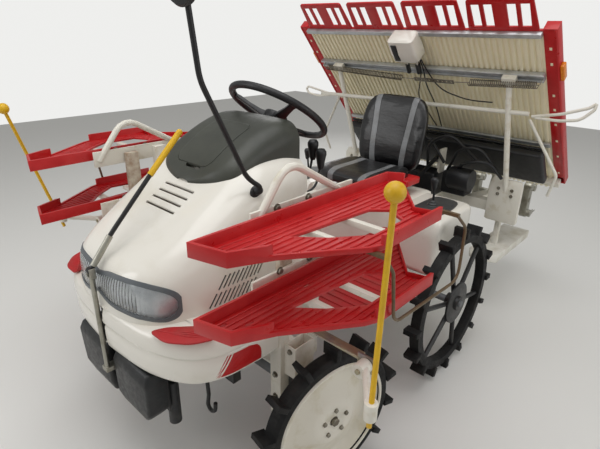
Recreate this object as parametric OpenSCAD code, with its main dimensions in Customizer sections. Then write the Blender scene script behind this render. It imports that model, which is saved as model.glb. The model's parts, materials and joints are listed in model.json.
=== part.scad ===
// Rice transplanter, four-row riding machine, millimetres.
// The front looks along -Y and the driver's left hand is on +X. Z = 0 is the floor that it stands on.
// Inside the modules Y = 0 is the rear axle; place() moves the whole machine so that its middle is the origin.

/* [Running gear] */
// Distance between the front and rear axles
wheelbase = 800; // [790:5:810]
// Distance between the middles of left and right wheels
track = 1100; // [1096:2:1116]
// Front wheel diameter over the lugs
front_wheel_d = 550; // [530:5:555]
// Front tyre width
front_tyre_w = 64; // [54:2:66]
// Rear wheel diameter over the lugs
rear_wheel_d = 680; // [664:4:680]
// Rear tyre width
rear_tyre_w = 60; // [50:2:70]
// Lugs on a front tyre
front_lugs = 14; // [12:1:16]
// Lugs on a rear tyre
rear_lugs = 16; // [14:1:18]
// Turn of the front wheels towards the driver's right at rest, in degrees
steer_rest = 10; // [0:1:12]

/* [Chassis] */
// Half the distance between the middles of the rails
rail_half = 138; // [134:1:142]
// Height of the underside of the rails
rail_z = 367; // [367:1:371]
// Depth of a rail
rail_h = 55; // [50:1:58]
// Width of a rail
rail_w = 33; // [28:1:36]
// Front end of the rails before the rear axle
rail_front = 1165; // [1160:1:1168]
// Rear end of the rails behind the rear axle
rail_rear = 211; // [206:1:220]
// Engine block length
engine_l = 275; // [240:5:280]
// Engine block width
engine_w = 250; // [230:5:254]
// Engine block height
engine_h = 290; // [260:5:295]

/* [Body panels] */
// Wall of the moulded panels
panel_t = 6; // [4:1:7]
// Height of the top of the front skirt
skirt_top = 642; // [639:1:645]
// Height of the tread plane of the floor
floor_z = 431; // [429:1:436]
// Half width of the floor
floor_half = 477; // [468:1:482]
// Half width of the bonnet
bonnet_half = 275; // [268:1:279]
// Top of the rear body beside the seat
deck_z = 697; // [692:1:702]

/* [Seat and wheel] */
// Width of the seat
seat_w = 394; // [380:2:406]
// Height of the seat cushion's top
seat_z = 825; // [815:1:832]
// Steering wheel diameter
wheel_d = 392; // [376:2:400]
// Rake of the steering column from upright, in degrees
column_rake = 35; // [33:1:37]

/* [Seedling racks] */
// Height of the upper tray's plate
tray_z = 961; // [952:1:970]
// Drop from the upper tray to the lower one
tray_drop = 195; // [188:1:200]
// Inner edge of the trays from the middle
tray_in = 458; // [454:1:464]
// Outer edge of the trays from the middle
tray_out = 745; // [741:1:751]
// Lip height of a tray
tray_lip = 37; // [32:1:42]

/* [Planting unit] */
// Distance between planted rows
row_pitch = 300; // [294:2:304]
// Slope of the seedling stage from level, in degrees
stage_slope = 48; // [47:1:49]
// Height of the top edge of the stage
stage_top_z = 1417; // [1410:1:1425]
// Place of the top edge behind the rear axle
stage_top_y = 339; // [336:1:346]
// Length of the stage along its slope
stage_len = 1055; // [1040:5:1060]
// Sideways travel of the stage to each side
stage_travel = 128; // [120:4:136]
// Length of the lift links
link_len = 477; // [472:1:482]
// Rise of the lift links at rest, in degrees
link_rise = 20; // [19:1:21]

/* [Row markers] */
// Distance of the marker poles from the middle
marker_half = 825; // [816:1:834]
// Diameter of the marker balls
ball_d = 42; // [38:1:46]

/* [Hidden] */
$fn = 32;

// Shift that brings the middle of the overall length to the origin
origin_y = 32.5;
front_y = -wheelbase;
half_track = track / 2;
front_r = front_wheel_d / 2;
rear_r = rear_wheel_d / 2;
rail_top = rail_z + rail_h;
rail_in = rail_half - rail_w / 2;
rail_out = rail_half + rail_w / 2;
// Clearance on each side of a pin in its bore
pin_gap = 0.05;

module place() translate([0, origin_y, 0]) children();

// Draws its child on the left and mirrored on the right
module both() {
    children();
    mirror([1, 0, 0]) children();
}

// Round bar of diameter d from point a to point b
module bar(a, b, d) {
    v = b - a;
    length = norm(v);
    translate(a)
        rotate([0, acos(v.z / length), atan2(v.y, v.x)])
            cylinder(h = length, d = d);
}

// Route with each inner corner rounded to radius r by an arc of the given steps
function unit(v) = v / norm(v);
function corner(a, b, c, r, steps) =
    let (u = unit(a - b), v = unit(c - b), half = acos(max(-1, min(1, u * v))) / 2,
        reach = min(r / tan(half), 0.48 * norm(a - b), 0.48 * norm(c - b)), r_used = reach * tan(half),
        middle = b + unit(u + v) * r_used / sin(half), out = unit(b + u * reach - middle),
        along = unit(-u - out * (-u * out)), turn = 180 - 2 * half)
    [for (k = [0 : steps]) middle + r_used * (cos(turn * k / steps) * out + sin(turn * k / steps) * along)];
function rounded(route, r, steps) = [
    route[0],
    for (i = [1 : len(route) - 2]) each corner(route[i - 1], route[i], route[i + 1], r, steps),
    route[len(route) - 1]];

// Tube of diameter d along a route, its rings turned by parallel transport
function tangent(p, i) = i == 0 ? unit(p[1] - p[0])
    : i == len(p) - 1 ? unit(p[i] - p[i - 1])
    : unit(unit(p[i] - p[i - 1]) + unit(p[i + 1] - p[i]));
function side_start(t) = unit(abs(t.z) < 0.9 ? cross(t, [0, 0, 1]) : cross(t, [1, 0, 0]));
function sides(p, i) = i == 0 ? [side_start(tangent(p, 0))]
    : let (before = sides(p, i - 1), t = tangent(p, i), s = before[i - 1]) concat(before, [unit(s - t * (s * t))]);
module tube(route, d, bend = 40, steps = 4, n = 10) {
    p = bend > 0 && len(route) > 2 ? rounded(route, bend, steps) : route;
    s = sides(p, len(p) - 1);
    rings = [for (i = [0 : len(p) - 1]) let (t = tangent(p, i), u = s[i], v = cross(t, u))
        for (k = [0 : n - 1]) p[i] + d / 2 * (cos(360 * k / n) * u + sin(360 * k / n) * v)];
    last = len(p) - 1;
    walls = [for (i = [0 : last - 1]) for (k = [0 : n - 1]) let (a = i * n + k, b = i * n + (k + 1) % n)
        each [[a, a + n, b], [b, a + n, b + n]]];
    polyhedron(rings, concat(walls, [[for (k = [0 : n - 1]) k]], [[for (k = [n - 1 : -1 : 0]) last * n + k]]));
}

// Box from its lowest to its highest corner
module block(low, high) translate(low) cube(high - low);

// Disc or tube lying across the machine, centred on x
module across(x, y, z, d, w) translate([x - w / 2, y, z]) rotate([0, 90, 0]) cylinder(h = w, d = d);

// Disc or tube lying along the machine, from y forwards by w
module along(x, y, z, d, w) translate([x, y, z]) rotate([90, 0, 0]) cylinder(h = w, d = d);

// Chassis rails with cross members, front plate, outriggers, link uprights, tow hook and front pipe
hitch_y = 193;
hitch_z = 431;
link_pin_d = 18;
upright_x = 110;
upright_top = 660;
front_plate_t = 6;
tow_z = rail_z + 12;
tow_t = 12;
tow_hole_d = 22;
outrigger_reach = 422;
module chassis() color("dimgray") {
    both() block([rail_in, -rail_front, rail_z], [rail_out, rail_rear, rail_top]);
    for (y = [18 - rail_front, -580, -300, 55])
        block([-rail_half, y - 18, rail_z + 9], [rail_half, y + 18, rail_top - 9]);
    block([-200, -rail_front - front_plate_t, rail_z - 60], [200, -rail_front, rail_top]);
    // floor and skirt brackets
    both() for (y = [-477, -92])
        block([rail_half, y, rail_top - 30], [outrigger_reach, y + 37, rail_top]);
    both() {
        block([rail_half, -1020, rail_top - 22], [330, -990, rail_top]);
        block([308, -1020, rail_top - 1], [330, -990, skirt_top - panel_t]);
    }
    // uprights with the pins of the lift links
    both() {
        block([upright_x, rail_rear - 64, rail_z], [rail_in + 1, rail_rear, upright_top]);
        for (z = [hitch_z, top_front_z]) across(upright_x - 8, hitch_y, z, link_pin_d, 32);
    }
    block([-upright_x - 1, rail_rear - 64, 550], [upright_x + 1, rail_rear - 51, 605]);
    // rear tow plate
    block([-rail_half, rail_rear - 36, rail_z + 9], [rail_half, rail_rear, rail_z + 31]);
    difference() {
        block([-45, rail_rear - 20, tow_z], [45, rail_rear + 60, tow_z + tow_t]);
        translate([0, rail_rear + 32, tow_z - 1]) cylinder(h = tow_t + 2, d = tow_hole_d);
    }
    // tow hook and front pipe
    tube([[rail_out - 4, -1010, rail_z + 12], [rail_out + 18, -1010, rail_z - 40], [rail_out + 22, -1010, 255],
        [rail_out + 12, -1010, 205], [rail_out + 30, -1010, 186], [rail_out + 54, -1010, 205], [rail_out + 58, -1010, 240]], 14, 20);
    translate([174, -1140, 236]) cylinder(h = 160, d = 40);
    block([rail_out - 1, -1150, rail_z + 5], [174, -1130, rail_z + 20]);
}
top_front_z = upright_top - 37;

// Front transmission case: axle arms that end in king pin housings, pads under the rails, tube to the rear axle
king_x = half_track - 92;
king_pin_d = 30;
king_low = 262;
king_high = 392;
module gearcase() color("gray") difference() {
    union() {
        block([-110, front_y + 55, 275], [110, front_y + 303, rail_z - 9]);
        block([-64, front_y - 55, 275], [64, front_y + 56, rail_z - 9]);
        block([-rail_out, front_y + 73, 312], [rail_out, front_y + 275, 348]);
        both() block([rail_in, front_y + 73, 347], [rail_out, front_y + 275, rail_z]);
        across(0, front_y, 320, 70, 2 * king_x);
        both() translate([king_x, front_y, king_low]) cylinder(h = king_high - king_low, d = 83);
        rotate([90, 0, 0]) translate([0, 316, 73]) cylinder(h = wheelbase - 303 - 73 + 1, d = 40);
    }
    both() translate([king_x, front_y, king_low - 1]) cylinder(h = 114, d = king_pin_d + 2 * pin_gap);
}

module engine() color("dimgray")
    block([-engine_w / 2, front_y - engine_l, rail_top], [engine_w / 2, front_y, rail_top + engine_h]);

// Rear axle case with its pads under the rails, and the stub axles
axle_d = 30;
module rear_axle() color("gray") {
    across(0, 0, rear_r, 52, 2 * (half_track - 110));
    both() across(half_track - 119, 0, rear_r, 110, 37);
    block([-83, -73, rear_r - 64], [83, 73, rear_r + 26]);
    both() block([rail_in, -46, rear_r], [rail_out, 46, rail_z]);
    across(0, 0, rear_r, axle_d, 2 * (half_track + 45));
}

// Two hanging front weights, hooked on the front plate
weight_back = -rail_front - front_plate_t;
weight_low = 289;
weight_high = 488;
module front_weights() color([0.12, 0.13, 0.13]) both() hull() {
    block([26, weight_back - 60, weight_low], [168, weight_back - 8, weight_low + 9]);
    block([19, weight_back - 74, weight_low + 46], [208, weight_back, weight_low + 55]);
    block([19, weight_back - 76, weight_high - 40], [218, weight_back, weight_high - 31]);
    block([25, weight_back - 64, weight_high - 9], [210, weight_back - 8, weight_high]);
}

// Sight mast: the post on its bracket, and the part that folds back over the bonnet
mast_pivot = [0, -1258, 761];
mast_pin_d = 8;
module mast_post() color("silver") {
    block([-15, mast_pivot.y - 10, rail_top - 14], [15, weight_back, rail_top]);
    translate([0, mast_pivot.y, rail_top - 1]) cylinder(h = mast_pivot.z - 18 - rail_top + 1, d = 15);
    difference() {
        block([-13, mast_pivot.y - 9, mast_pivot.z - 24], [13, mast_pivot.y + 9, mast_pivot.z + 9]);
        block([-8.5, mast_pivot.y - 10, mast_pivot.z - 16], [8.5, mast_pivot.y + 10, mast_pivot.z + 10]);
    }
    across(0, mast_pivot.y, mast_pivot.z, mast_pin_d, 26);
}
module sight_mast() color("silver") {
    bend_1 = mast_pivot + [0, 75, 92];
    bend_2 = mast_pivot + [0, 222, 242];
    difference() {
        union() {
            across(0, mast_pivot.y, mast_pivot.z, 22, 16);
            bar(mast_pivot, bend_1, 14);
        }
        across(0, mast_pivot.y, mast_pivot.z, mast_pin_d + 2 * pin_gap, 20);
    }
    bar(bend_1, bend_2, 12);
    bar(bend_2, mast_pivot + [0, 336, 354], 20);
}

// Bonnet sections from the nose to the dash: y, share of the half width, top height, corner radius
bonnet_sections = [
    [-1240, 0.36, 734, 37],
    [-1215, 0.66, 775, 64],
    [-1165, 0.84, 807, 82],
    [-1082, 0.95, 857, 101],
    [-972, 1.00, 926, 119],
    [-825, 1.00, 1013, 128],
    [-679, 0.92, 1036, 110],
    [-587, 0.84, 1018, 83]];
dash_y = -587;
dash_front = -852;
module bonnet_slice(row, grow, low) {
    half = row[1] * bonnet_half - grow;
    translate([0, row[0], 0]) rotate([90, 0, 0]) linear_extrude(1) hull() {
        for (side = [-1, 1])
            translate([side * (half - row[3]), row[2] - grow - row[3]]) circle(r = row[3]);
        translate([-half, low]) square([2 * half, 2]);
    }
}
module bonnet_loft(rows, grow, low)
    for (i = [0 : len(rows) - 2]) hull() {
        bonnet_slice(rows[i], grow, low);
        bonnet_slice(rows[i + 1], grow, low);
    }
module bonnet() color("ivory") difference() {
    bonnet_loft(bonnet_sections, 0, skirt_top);
    translate([0, 0, -1]) bonnet_loft([for (i = [1 : len(bonnet_sections) - 1])
        [bonnet_sections[i][0] + (i == 1 ? 2 * panel_t : i == len(bonnet_sections) - 1 ? -panel_t : 0),
         bonnet_sections[i][1], bonnet_sections[i][2], bonnet_sections[i][3]]], panel_t, skirt_top - 4);
    lamp_space(0);
    column_hole();
    mirror_foot(26, 40);
    for (i = [0 : 3]) translate([-slot_half, slot_front + i * slot_pitch, 850]) cube([2 * slot_half, slot_w, 200]);
    both() for (i = [0 : louvre_count - 1]) translate([bonnet_half - 40, louvre_front + i * louvre_pitch, skirt_top + 14])
        rotate([-34, 0, 0]) for (z = [0, 66]) translate([0, 0, z]) cube([60, slot_w, 52]);
}
slot_half = 58;
slot_w = 7;
slot_front = -1008;
slot_pitch = 25;
louvre_front = -1040;
louvre_pitch = 19;
louvre_count = 10;
// Dash panel between the bonnet and the floor
dash_half = 231;
module dash_panel() color("ivory") difference() {
    block([-dash_half, dash_front, floor_z], [dash_half, dash_y, skirt_top]);
    block([-dash_half + panel_t, dash_front - 1, floor_z - 1], [dash_half - panel_t, dash_y - panel_t, skirt_top + 1]);
}

// Headlamp: a rim and a lens that follow the bonnet's nose
lamp_half = 261;
lamp_r = 42;
lamp_mid_z = 720;
module lamp_outline(shrink) offset(delta = -shrink) hull() {
    for (side = [-1, 1]) translate([side * (lamp_half - lamp_r), lamp_mid_z - 11]) circle(r = lamp_r);
    translate([0, lamp_mid_z + 6]) circle(r = lamp_r);
}
module lamp_space(shrink) translate([0, -1100, 0]) rotate([90, 0, 0]) linear_extrude(183) lamp_outline(shrink);
module headlamp_rim() color("dimgray") difference() {
    intersection() {
        bonnet_loft([for (i = [0 : 3]) bonnet_sections[i]], -3, skirt_top);
        lamp_space(0.1);
    }
    bonnet_loft([for (i = [1 : 3]) bonnet_sections[i]], 13, skirt_top);
    lamp_space(15);
}
module headlamp_lens() color([0.75, 0.78, 0.80]) difference() {
    intersection() {
        bonnet_loft([for (i = [0 : 3]) bonnet_sections[i]], 2, skirt_top);
        lamp_space(15.1);
    }
    bonnet_loft([for (i = [1 : 3]) bonnet_sections[i]], 13, skirt_top);
}

// Instrument cowl, a shell that sits on the bonnet, with a lid in its top
module cowl_shape(grow) hull() {
    for (side = [-1, 1]) {
        translate([side * 58, -905, 958]) sphere(r = 45 - grow);
        translate([side * 130, -779, 1055]) sphere(r = 55 - grow);
        translate([side * 150, -642, 1073]) sphere(r = 55 - grow);
        translate([side * 145, -800, 940]) sphere(r = 45 - grow);
        translate([side * 140, -640, 960]) sphere(r = 45 - grow);
    }
}
module cowl() color([0.28, 0.29, 0.27]) difference() {
    cowl_shape(0);
    cowl_shape(panel_t);
    bonnet_loft(bonnet_sections, 0, skirt_top);
    lid_space(0, 110);
    column_hole();
}
lid_hinge = [0, -697, 1121];
lid_w = 174;
lid_l = 147;
lid_slope = 28;
module lid_space(gap, h)
    translate(lid_hinge) rotate([lid_slope, 0, 0]) translate([gap - lid_w / 2, gap - lid_l, -18]) cube([lid_w - 2 * gap, lid_l - 2 * gap, h]);
module cowl_lid() color([0.30, 0.31, 0.29]) lid_space(1, 14);

// Front skirt, a step that wraps round the nose
skirt_plan = [[55, -1252], [220, -1233], [339, -1178], [390, -1091], [403, -972], [403, -889]];
skirt_low = 500;
module skirt_outline(inset)
    offset(delta = -inset)
        polygon(concat(skirt_plan, [for (i = [len(skirt_plan) - 1 : -1 : 0]) [-skirt_plan[i].x, skirt_plan[i].y]]));
module front_skirt() color("ivory") difference() {
    translate([0, 0, skirt_low]) linear_extrude(skirt_top - skirt_low) skirt_outline(0);
    translate([0, 0, skirt_low - 1]) linear_extrude(skirt_top - skirt_low + 1 - panel_t) skirt_outline(panel_t);
    translate([0, 0, skirt_low + 50]) linear_extrude(183) offset(delta = -13) bonnet_plan();
    block([-458, -895, 458], [458, -825, skirt_top - panel_t]);
    block([-17, -1284, 458], [17, -1243, skirt_top + 1]);
}
module bonnet_plan() polygon(concat(
    [for (r = bonnet_sections) [r[1] * bonnet_half, r[0]]],
    [for (i = [len(bonnet_sections) - 1 : -1 : 0]) [-bonnet_sections[i][1] * bonnet_half, bonnet_sections[i][0]]]));

// Red ribbed step mats on the skirt and the floor between the dash and the seat
mat_h = 6;
floor_plan = [[dash_half + 6, dash_front], [275, -780], [321, -660], [348, -559], [floor_half - 55, -509],
    [floor_half, -477], [floor_half, -101], [floor_half - 37, -57]];
module floor_outline() polygon(concat([[0, 4 - wheelbase], [engine_w / 2 + 8, 4 - wheelbase], [engine_w / 2 + 8, dash_front]],
    floor_plan, [[0, -57]]));
module floor_mats() color("firebrick") both() {
    translate([0, 0, skirt_top]) linear_extrude(mat_h) difference() {
        intersection() {
            skirt_outline(22);
            translate([183, -1220]) square([275, 321]);
        }
        offset(delta = 13) bonnet_plan();
    }
    translate([0, 0, rail_top]) linear_extrude(floor_z - rail_top) floor_outline();
    translate([0, 0, floor_z - 1]) linear_extrude(mat_h) intersection() {
        offset(delta = -14) floor_outline();
        for (i = [0 : 19]) translate([i > 6 ? 12 : dash_half + 10, -842 + i * 39.5]) square([floor_half, 11]);
    }
}

// Rear body: seat pedestal and fenders
pedestal_low = 275;
pedestal_top = 257;
console_low = [303, -28, deck_z - 15];
console_high = [431, 211, deck_z + 6];
module rear_body() color("ivory") {
    difference() {
        hull() {
            block([-pedestal_low, -55, rail_top], [pedestal_low, 229, rail_top + 9]);
            block([-pedestal_top, -18, deck_z - 9], [pedestal_top, 303, deck_z]);
        }
        hull() {
            block([panel_t - pedestal_low, panel_t - 55, rail_top - 1], [pedestal_low - panel_t, 229 - panel_t, rail_top + 9]);
            block([panel_t - pedestal_top, panel_t - 18, deck_z - 9 - panel_t], [pedestal_top - panel_t, 303 - panel_t, deck_z - panel_t]);
        }
        block([-upright_x - 37, 119, rail_z], [upright_x + 37, 367, upright_top + 29]);
    }
    both() difference() {
        hull() {
            block([pedestal_low, -55, floor_z], [floor_half - 9, -37, floor_z + 18]);
            block([pedestal_low, -55, deck_z - 55], [458, 275, deck_z]);
            block([pedestal_low, 183, floor_z + 55], [floor_half, 275, floor_z + 73]);
        }
        hull() {
            block([pedestal_top, panel_t - 55, floor_z - 9], [floor_half - 9 - panel_t, -37, floor_z + 18 - panel_t]);
            block([pedestal_top, panel_t - 55, deck_z - 55], [458 - panel_t, 275 - panel_t, deck_z - panel_t]);
            block([pedestal_top, 183, floor_z + 46], [floor_half - panel_t, 275 - panel_t, floor_z + 73 - panel_t]);
        }
        block(console_low, console_high);
    }
}
module consoles() color([0.3, 0.31, 0.31]) both() block(console_low, console_high);

// Seat on its frame
seat_frame_top = seat_z - 83;
module seat_base() color([0.15, 0.15, 0.15]) {
    block([-138, 18, deck_z], [138, 220, deck_z + 11]);
    both() block([101, 37, deck_z + 10], [119, 202, seat_frame_top - 8]);
    block([-147, 9, seat_frame_top - 9], [147, 310, seat_frame_top]);
}
module seat() color([0.1, 0.1, 0.1]) {
    hull() {
        block([18 - seat_w / 2, -101, seat_frame_top], [seat_w / 2 - 18, 248, seat_z - 55]);
        block([-seat_w / 2, -83, seat_z - 55], [seat_w / 2, 238, seat_z - 28]);
        block([28 - seat_w / 2, -64, seat_z - 9], [seat_w / 2 - 28, 220, seat_z]);
    }
    hull() {
        block([9 - seat_w / 2, 252, seat_frame_top], [seat_w / 2 - 9, 321, seat_z]);
        block([55 - seat_w / 2, 312, seat_z + 293], [seat_w / 2 - 55, 358, seat_z + 312]);
    }
}

// Steering column on its plate, and the wheel; both follow the rake
wheel_pos = [0, -499, 1131];
shaft_d = 18;
module on_column() translate(wheel_pos) rotate([-column_rake, 0, 0]) children();
module column_hole() on_column() translate([0, 0, -330]) cylinder(h = 250, d = 46);
module steering_column() color([0.15, 0.15, 0.15]) {
    on_column() {
        translate([0, 0, -138]) cylinder(h = 90, d = 44);
        translate([0, 0, -345]) cylinder(h = 215, d = 33);
        translate([0, 0, -50]) cylinder(h = 35, d = shaft_d);
    }
    block([-110, -706, floor_z], [110, -696, 870]);
}
module steering_wheel() color([0.15, 0.15, 0.15]) on_column() difference() {
    union() {
        rotate_extrude($fn = 64) translate([wheel_d / 2 - 12, 0]) circle(d = 24);
        translate([0, 0, -43]) cylinder(h = 39, d = 73);
        for (a = [90, 210, 330]) rotate([0, 0, a]) bar([18, 0, -22], [wheel_d / 2 - 15, 0, 0], 17);
    }
    translate([0, 0, -44]) cylinder(h = 31, d = shaft_d + 2 * pin_gap);
}

// Control levers: two on the consoles and one on the dash
module levers() color([0.1, 0.1, 0.1]) {
    for (p = [[367, 92, console_high.z], [-367, 92, console_high.z]]) {
        translate(p) cylinder(h = 14, d = 34);
        bar(p + [0, 0, 4], p + [0, -18, 110], 11);
        translate(p + [0, -20, 119]) sphere(d = 33);
    }
    block([92, dash_y, 950], [128, dash_y + 10, 984]);
    bar([110, dash_y + 6, 970], [156, -550, 1082], 9);
    translate([156, -550, 1091]) sphere(d = 28);
}

// Mirror on its bent stay; the foot passes through the bonnet's shoulder
mirror_grommet = [246, -835, 958];
module mirror_foot(d, l) translate(mirror_grommet) rotate([0, 52, 0]) translate([0, 0, -l / 2]) cylinder(h = l, d = d);
module mirror_stay() color([0.13, 0.13, 0.14]) {
    mirror_foot(26 - 2 * pin_gap, 34);
    tube([mirror_grommet, mirror_grommet + [24, 0, 20], [258, -880, 1015], [249, -1013, 1292], [249, -1037, 1504]], 14, 30);
    translate([249, -1046, 1522]) rotate([80, 0, 0]) translate([0, 0, -11]) cylinder(h = 22, d = 138);
}

// Seedling racks, left side drawn and mirrored: post, bracket plates, tray arms and the hoop handrail
rack_x = 427;
rack_plate = 4;
rack_post_y = -761;
hoop = [[rack_x, -1000, tray_z - 9], [rack_x, -885, tray_z + 138], [rack_x, -633, tray_z - 9]];
tray_t = 8;
module rack_frames() color("white") both() {
    tube(hoop, 22, 64);
    for (z = [tray_z, tray_z - tray_drop]) {
        block([rack_x - rack_plate, -1018, z - 28], [rack_x + rack_plate, -605, z + 28]);
        for (y = [-923, -794])
            block([rack_x, y - 9, z - tray_t - 16], [tray_out - 64, y + 9, z - tray_t]);
    }
    block([rack_x - 31, rack_post_y - 23, rail_top - 4], [rack_x - rack_plate, rack_post_y + 23, tray_z + 18]);
    block([rail_out, rack_post_y - 23, rail_top - 22], [rack_x - 15, rack_post_y + 23, rail_top - 1]);
}

// Plan outline of one tray and of its opening
tray_plan = [[tray_in, -1224], [tray_in + 101, -1197], [tray_in + 147, -1100], [tray_out - 18, -926], [tray_out, -880],
    [tray_out, -578], [tray_out - 119, -477], [tray_in + 46, -431], [tray_in, -458]];
tray_hole = [[tray_in + 92, -1000], [tray_in + 119, -720], [tray_in + 158, -683], [tray_in + 225, -720],
    [tray_in + 226, -853], [tray_in + 161, -941]];
tray_rib_pitch = 19;
module tray_at(z) translate([0, 0, z]) {
    tray_pan();
    translate([0, 0, tray_t - 1]) linear_extrude(4) intersection() {
        difference() {
            offset(delta = -tray_t - 8) polygon(tray_plan);
            offset(delta = 8) polygon(tray_hole);
        }
        for (x = [tray_in + 22 : tray_rib_pitch : tray_out - 20]) translate([x, -1230]) square([6, 820]);
    }
}
module tray_pan() difference() {
    linear_extrude(tray_lip) polygon(tray_plan);
    translate([0, 0, tray_t]) linear_extrude(tray_lip) offset(delta = -tray_t) polygon(tray_plan);
    translate([0, 0, -1]) linear_extrude(tray_lip) polygon(tray_hole);
    translate([0, 0, 13]) block([tray_in + 138, -1137, 0], [tray_out + 9, -894, 55]);
    translate([0, 0, 13]) block([tray_in + 55, -587, 0], [tray_out + 9, -367, 55]);
    for (p = [[tray_in + 30, -1180], [tray_in + 70, -1130], [tray_in + 40, -900], [tray_in + 40, -700], [tray_out - 60, -640], [tray_in + 90, -560]])
        translate([p.x, p.y, -1]) cube([10, 26, tray_t + 2]);
}
module upper_trays() color("red") both() tray_at(tray_z - tray_t);
module lower_trays() color("firebrick") both() tray_at(tray_z - tray_drop - tray_t);

// Guard rods, hung from clips under the upper trays
rod_x = tray_out + 12;
rod_top = tray_z - tray_t;
module guard_rods() color("peru") both() {
    for (y = [-914, -560]) block([tray_out - 40, y - 6, rod_top - 9], [rod_x + 5, y + 6, rod_top]);
    tube([[rod_x, -914, rod_top - 5], [rod_x, -870, rod_top - 60], [rod_x, -845, tray_z - 221],
        [rod_x, -490, tray_z - 239], [rod_x, -491, tray_z - 68], [rod_x, -560, rod_top - 5]], 9, 38);
}

// Marker posts: a channel behind the skirt, an open box beside it and a bracket that reaches over the wheel
post_x = 385;
// The posts stand at the skirt's rear edge, or further forward where the axle arms need the room
skirt_post_y = -876;
axle_arm_room = 76;
post_y = min(skirt_post_y, -wheelbase - axle_arm_room);
marker_z = 614;
marker_pin_d = 14;
arm_pivot = [715, post_y - 9, marker_z];
module marker_posts() color("white") both() {
    difference() {
        block([post_x - 23, post_y - 18, 229], [post_x + 23, post_y + 18, marker_z + 10]);
        block([post_x - 19, post_y - 14, 228], [post_x + 19, post_y + 19, marker_z + 11]);
    }
    difference() {
        block([post_x + 22, post_y, 400], [post_x + 69, post_y + 86, 514]);
        block([post_x + 27, post_y + 4, 404], [post_x + 65, post_y + 82, 515]);
    }
    block([engine_w / 2 + 8, post_y - 18, rail_top], [post_x - 22, post_y + 18, rail_top + 9]);
    block([post_x - 23, post_y - 12, marker_z + 4], [arm_pivot.x - 24, post_y + 18, marker_z + 10]);
    block([arm_pivot.x - 30, arm_pivot.y, marker_z - 24], [arm_pivot.x + 24, arm_pivot.y + 6, marker_z + 24]);
    along(arm_pivot.x, arm_pivot.y + 1, arm_pivot.z, marker_pin_d, 44);
}

// Row markers, folded up beside the trays
pole_foot = [marker_half, -1027, 587];
pole_top = [marker_half, -1011, 1139];
module marker(top) color("gold") {
    difference() {
        union() {
            along(arm_pivot.x, arm_pivot.y - 2, arm_pivot.z, 40, 36);
            bar(arm_pivot + [10, -20, 2], [marker_half - 4, -1025, 633], 22);
        }
        along(arm_pivot.x, arm_pivot.y + 10, arm_pivot.z, marker_pin_d + 2 * pin_gap, 80);
    }
    bar(pole_foot, top, 13);
    translate(top) sphere(d = ball_d);
    translate([marker_half, -1026, 610]) cylinder(h = 46, d = 31);
}
module marker_left() marker(pole_top);
module marker_right() mirror([1, 0, 0]) marker(pole_top + [0, -152, -24]);

// Knuckles: king pin, case round the wheel's bearing and the stub axle
module knuckle() color("gray") {
    translate([king_x, front_y, king_low - 40]) cylinder(h = 38, d = 92);
    translate([king_x, front_y, king_low - 3]) cylinder(h = 110, d = king_pin_d);
    block([king_x, front_y - 40, king_low - 40], [king_x + 68, front_y + 40, king_low - 4]);
    across(king_x + 57, front_y, front_r, 84, 23);
    across(king_x + 78, front_y, front_r, axle_d, 50);
}
// Turns its child about the left or right king pin to the resting steering angle
module steered(side) translate([side * king_x, front_y, 0]) rotate([0, 0, -steer_rest]) translate([-side * king_x, -front_y, 0])
    children();
module knuckle_left() steered(1) knuckle();
module knuckle_right() steered(-1) mirror([1, 0, 0]) knuckle();

// Front wheel disc and tyre
bore_r = axle_d / 2 + pin_gap;
front_rim_r = 194;
module front_wheel() color("ivory") translate([half_track, front_y, front_r]) rotate([0, 90, 0])
    rotate_extrude($fn = 48) polygon([[bore_r, -17], [55, -17], [110, 0], [180, 11], [180, -28], [front_rim_r, -28],
        [front_rim_r, 28], [180, 28], [174, 20], [105, 11], [60, 22], [0, 26], [0, 15], [bore_r, 15]]);
module front_tyre() color([0.1, 0.1, 0.1]) translate([half_track, front_y, front_r]) rotate([0, 90, 0]) {
    rotate_extrude($fn = 48) polygon([[front_rim_r, -26], [front_r - 46, -28], [front_r - 35, -17], [front_r - 35, 17],
        [front_r - 46, 28], [front_rim_r, 26]]);
    for (i = [0 : front_lugs - 1]) rotate([0, 0, i * 360 / front_lugs])
        translate([front_r - 42, -9, -front_tyre_w / 2]) cube([42, 17, front_tyre_w]);
}
module front_wheel_left() steered(1) front_wheel();
module front_wheel_right() steered(-1) mirror([1, 0, 0]) front_wheel();
module front_tyre_left() steered(1) front_tyre();
module front_tyre_right() steered(-1) mirror([1, 0, 0]) front_tyre();

// Rear wheel with tubular spokes, and its tyre
rim_r = 282;
rim_d = 22;
module rear_wheel() color([0.15, 0.15, 0.15]) translate([half_track, 0, rear_r]) rotate([0, 90, 0]) {
    rotate_extrude($fn = 48) translate([rim_r, 0]) circle(d = rim_d);
    difference() {
        union() {
            translate([0, 0, -18]) cylinder(h = 55, d = 64);
            translate([0, 0, 18]) cylinder(h = 8, d = 183);
        }
        translate([0, 0, -55]) cylinder(h = 110, r = bore_r);
    }
    spokes(20);
}
module spokes(d) for (i = [0 : 5]) rotate([0, 0, i * 60 + 15]) bar([40, 0, 11], [rim_r - 4, 0, 0], d);
module rear_tyre() color([0.08, 0.08, 0.08]) translate([half_track, 0, rear_r]) rotate([0, 90, 0]) {
    difference() {
        rotate_extrude($fn = 48) difference() {
            translate([rim_r - 13, -20]) square([37, 40]);
            translate([rim_r, 0]) circle(d = rim_d + 0.2);
        }
        spokes(20.2);
    }
    for (i = [0 : rear_lugs - 1]) rotate([0, 0, i * 360 / rear_lugs])
        translate([rim_r + 18, -11, -rear_tyre_w / 2]) cube([rear_r - rim_r - 18, 22, rear_tyre_w]);
}
module rear_wheel_left() rear_wheel();
module rear_wheel_right() mirror([1, 0, 0]) rear_wheel();
module rear_tyre_left() rear_tyre();
module rear_tyre_right() mirror([1, 0, 0]) rear_tyre();

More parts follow.
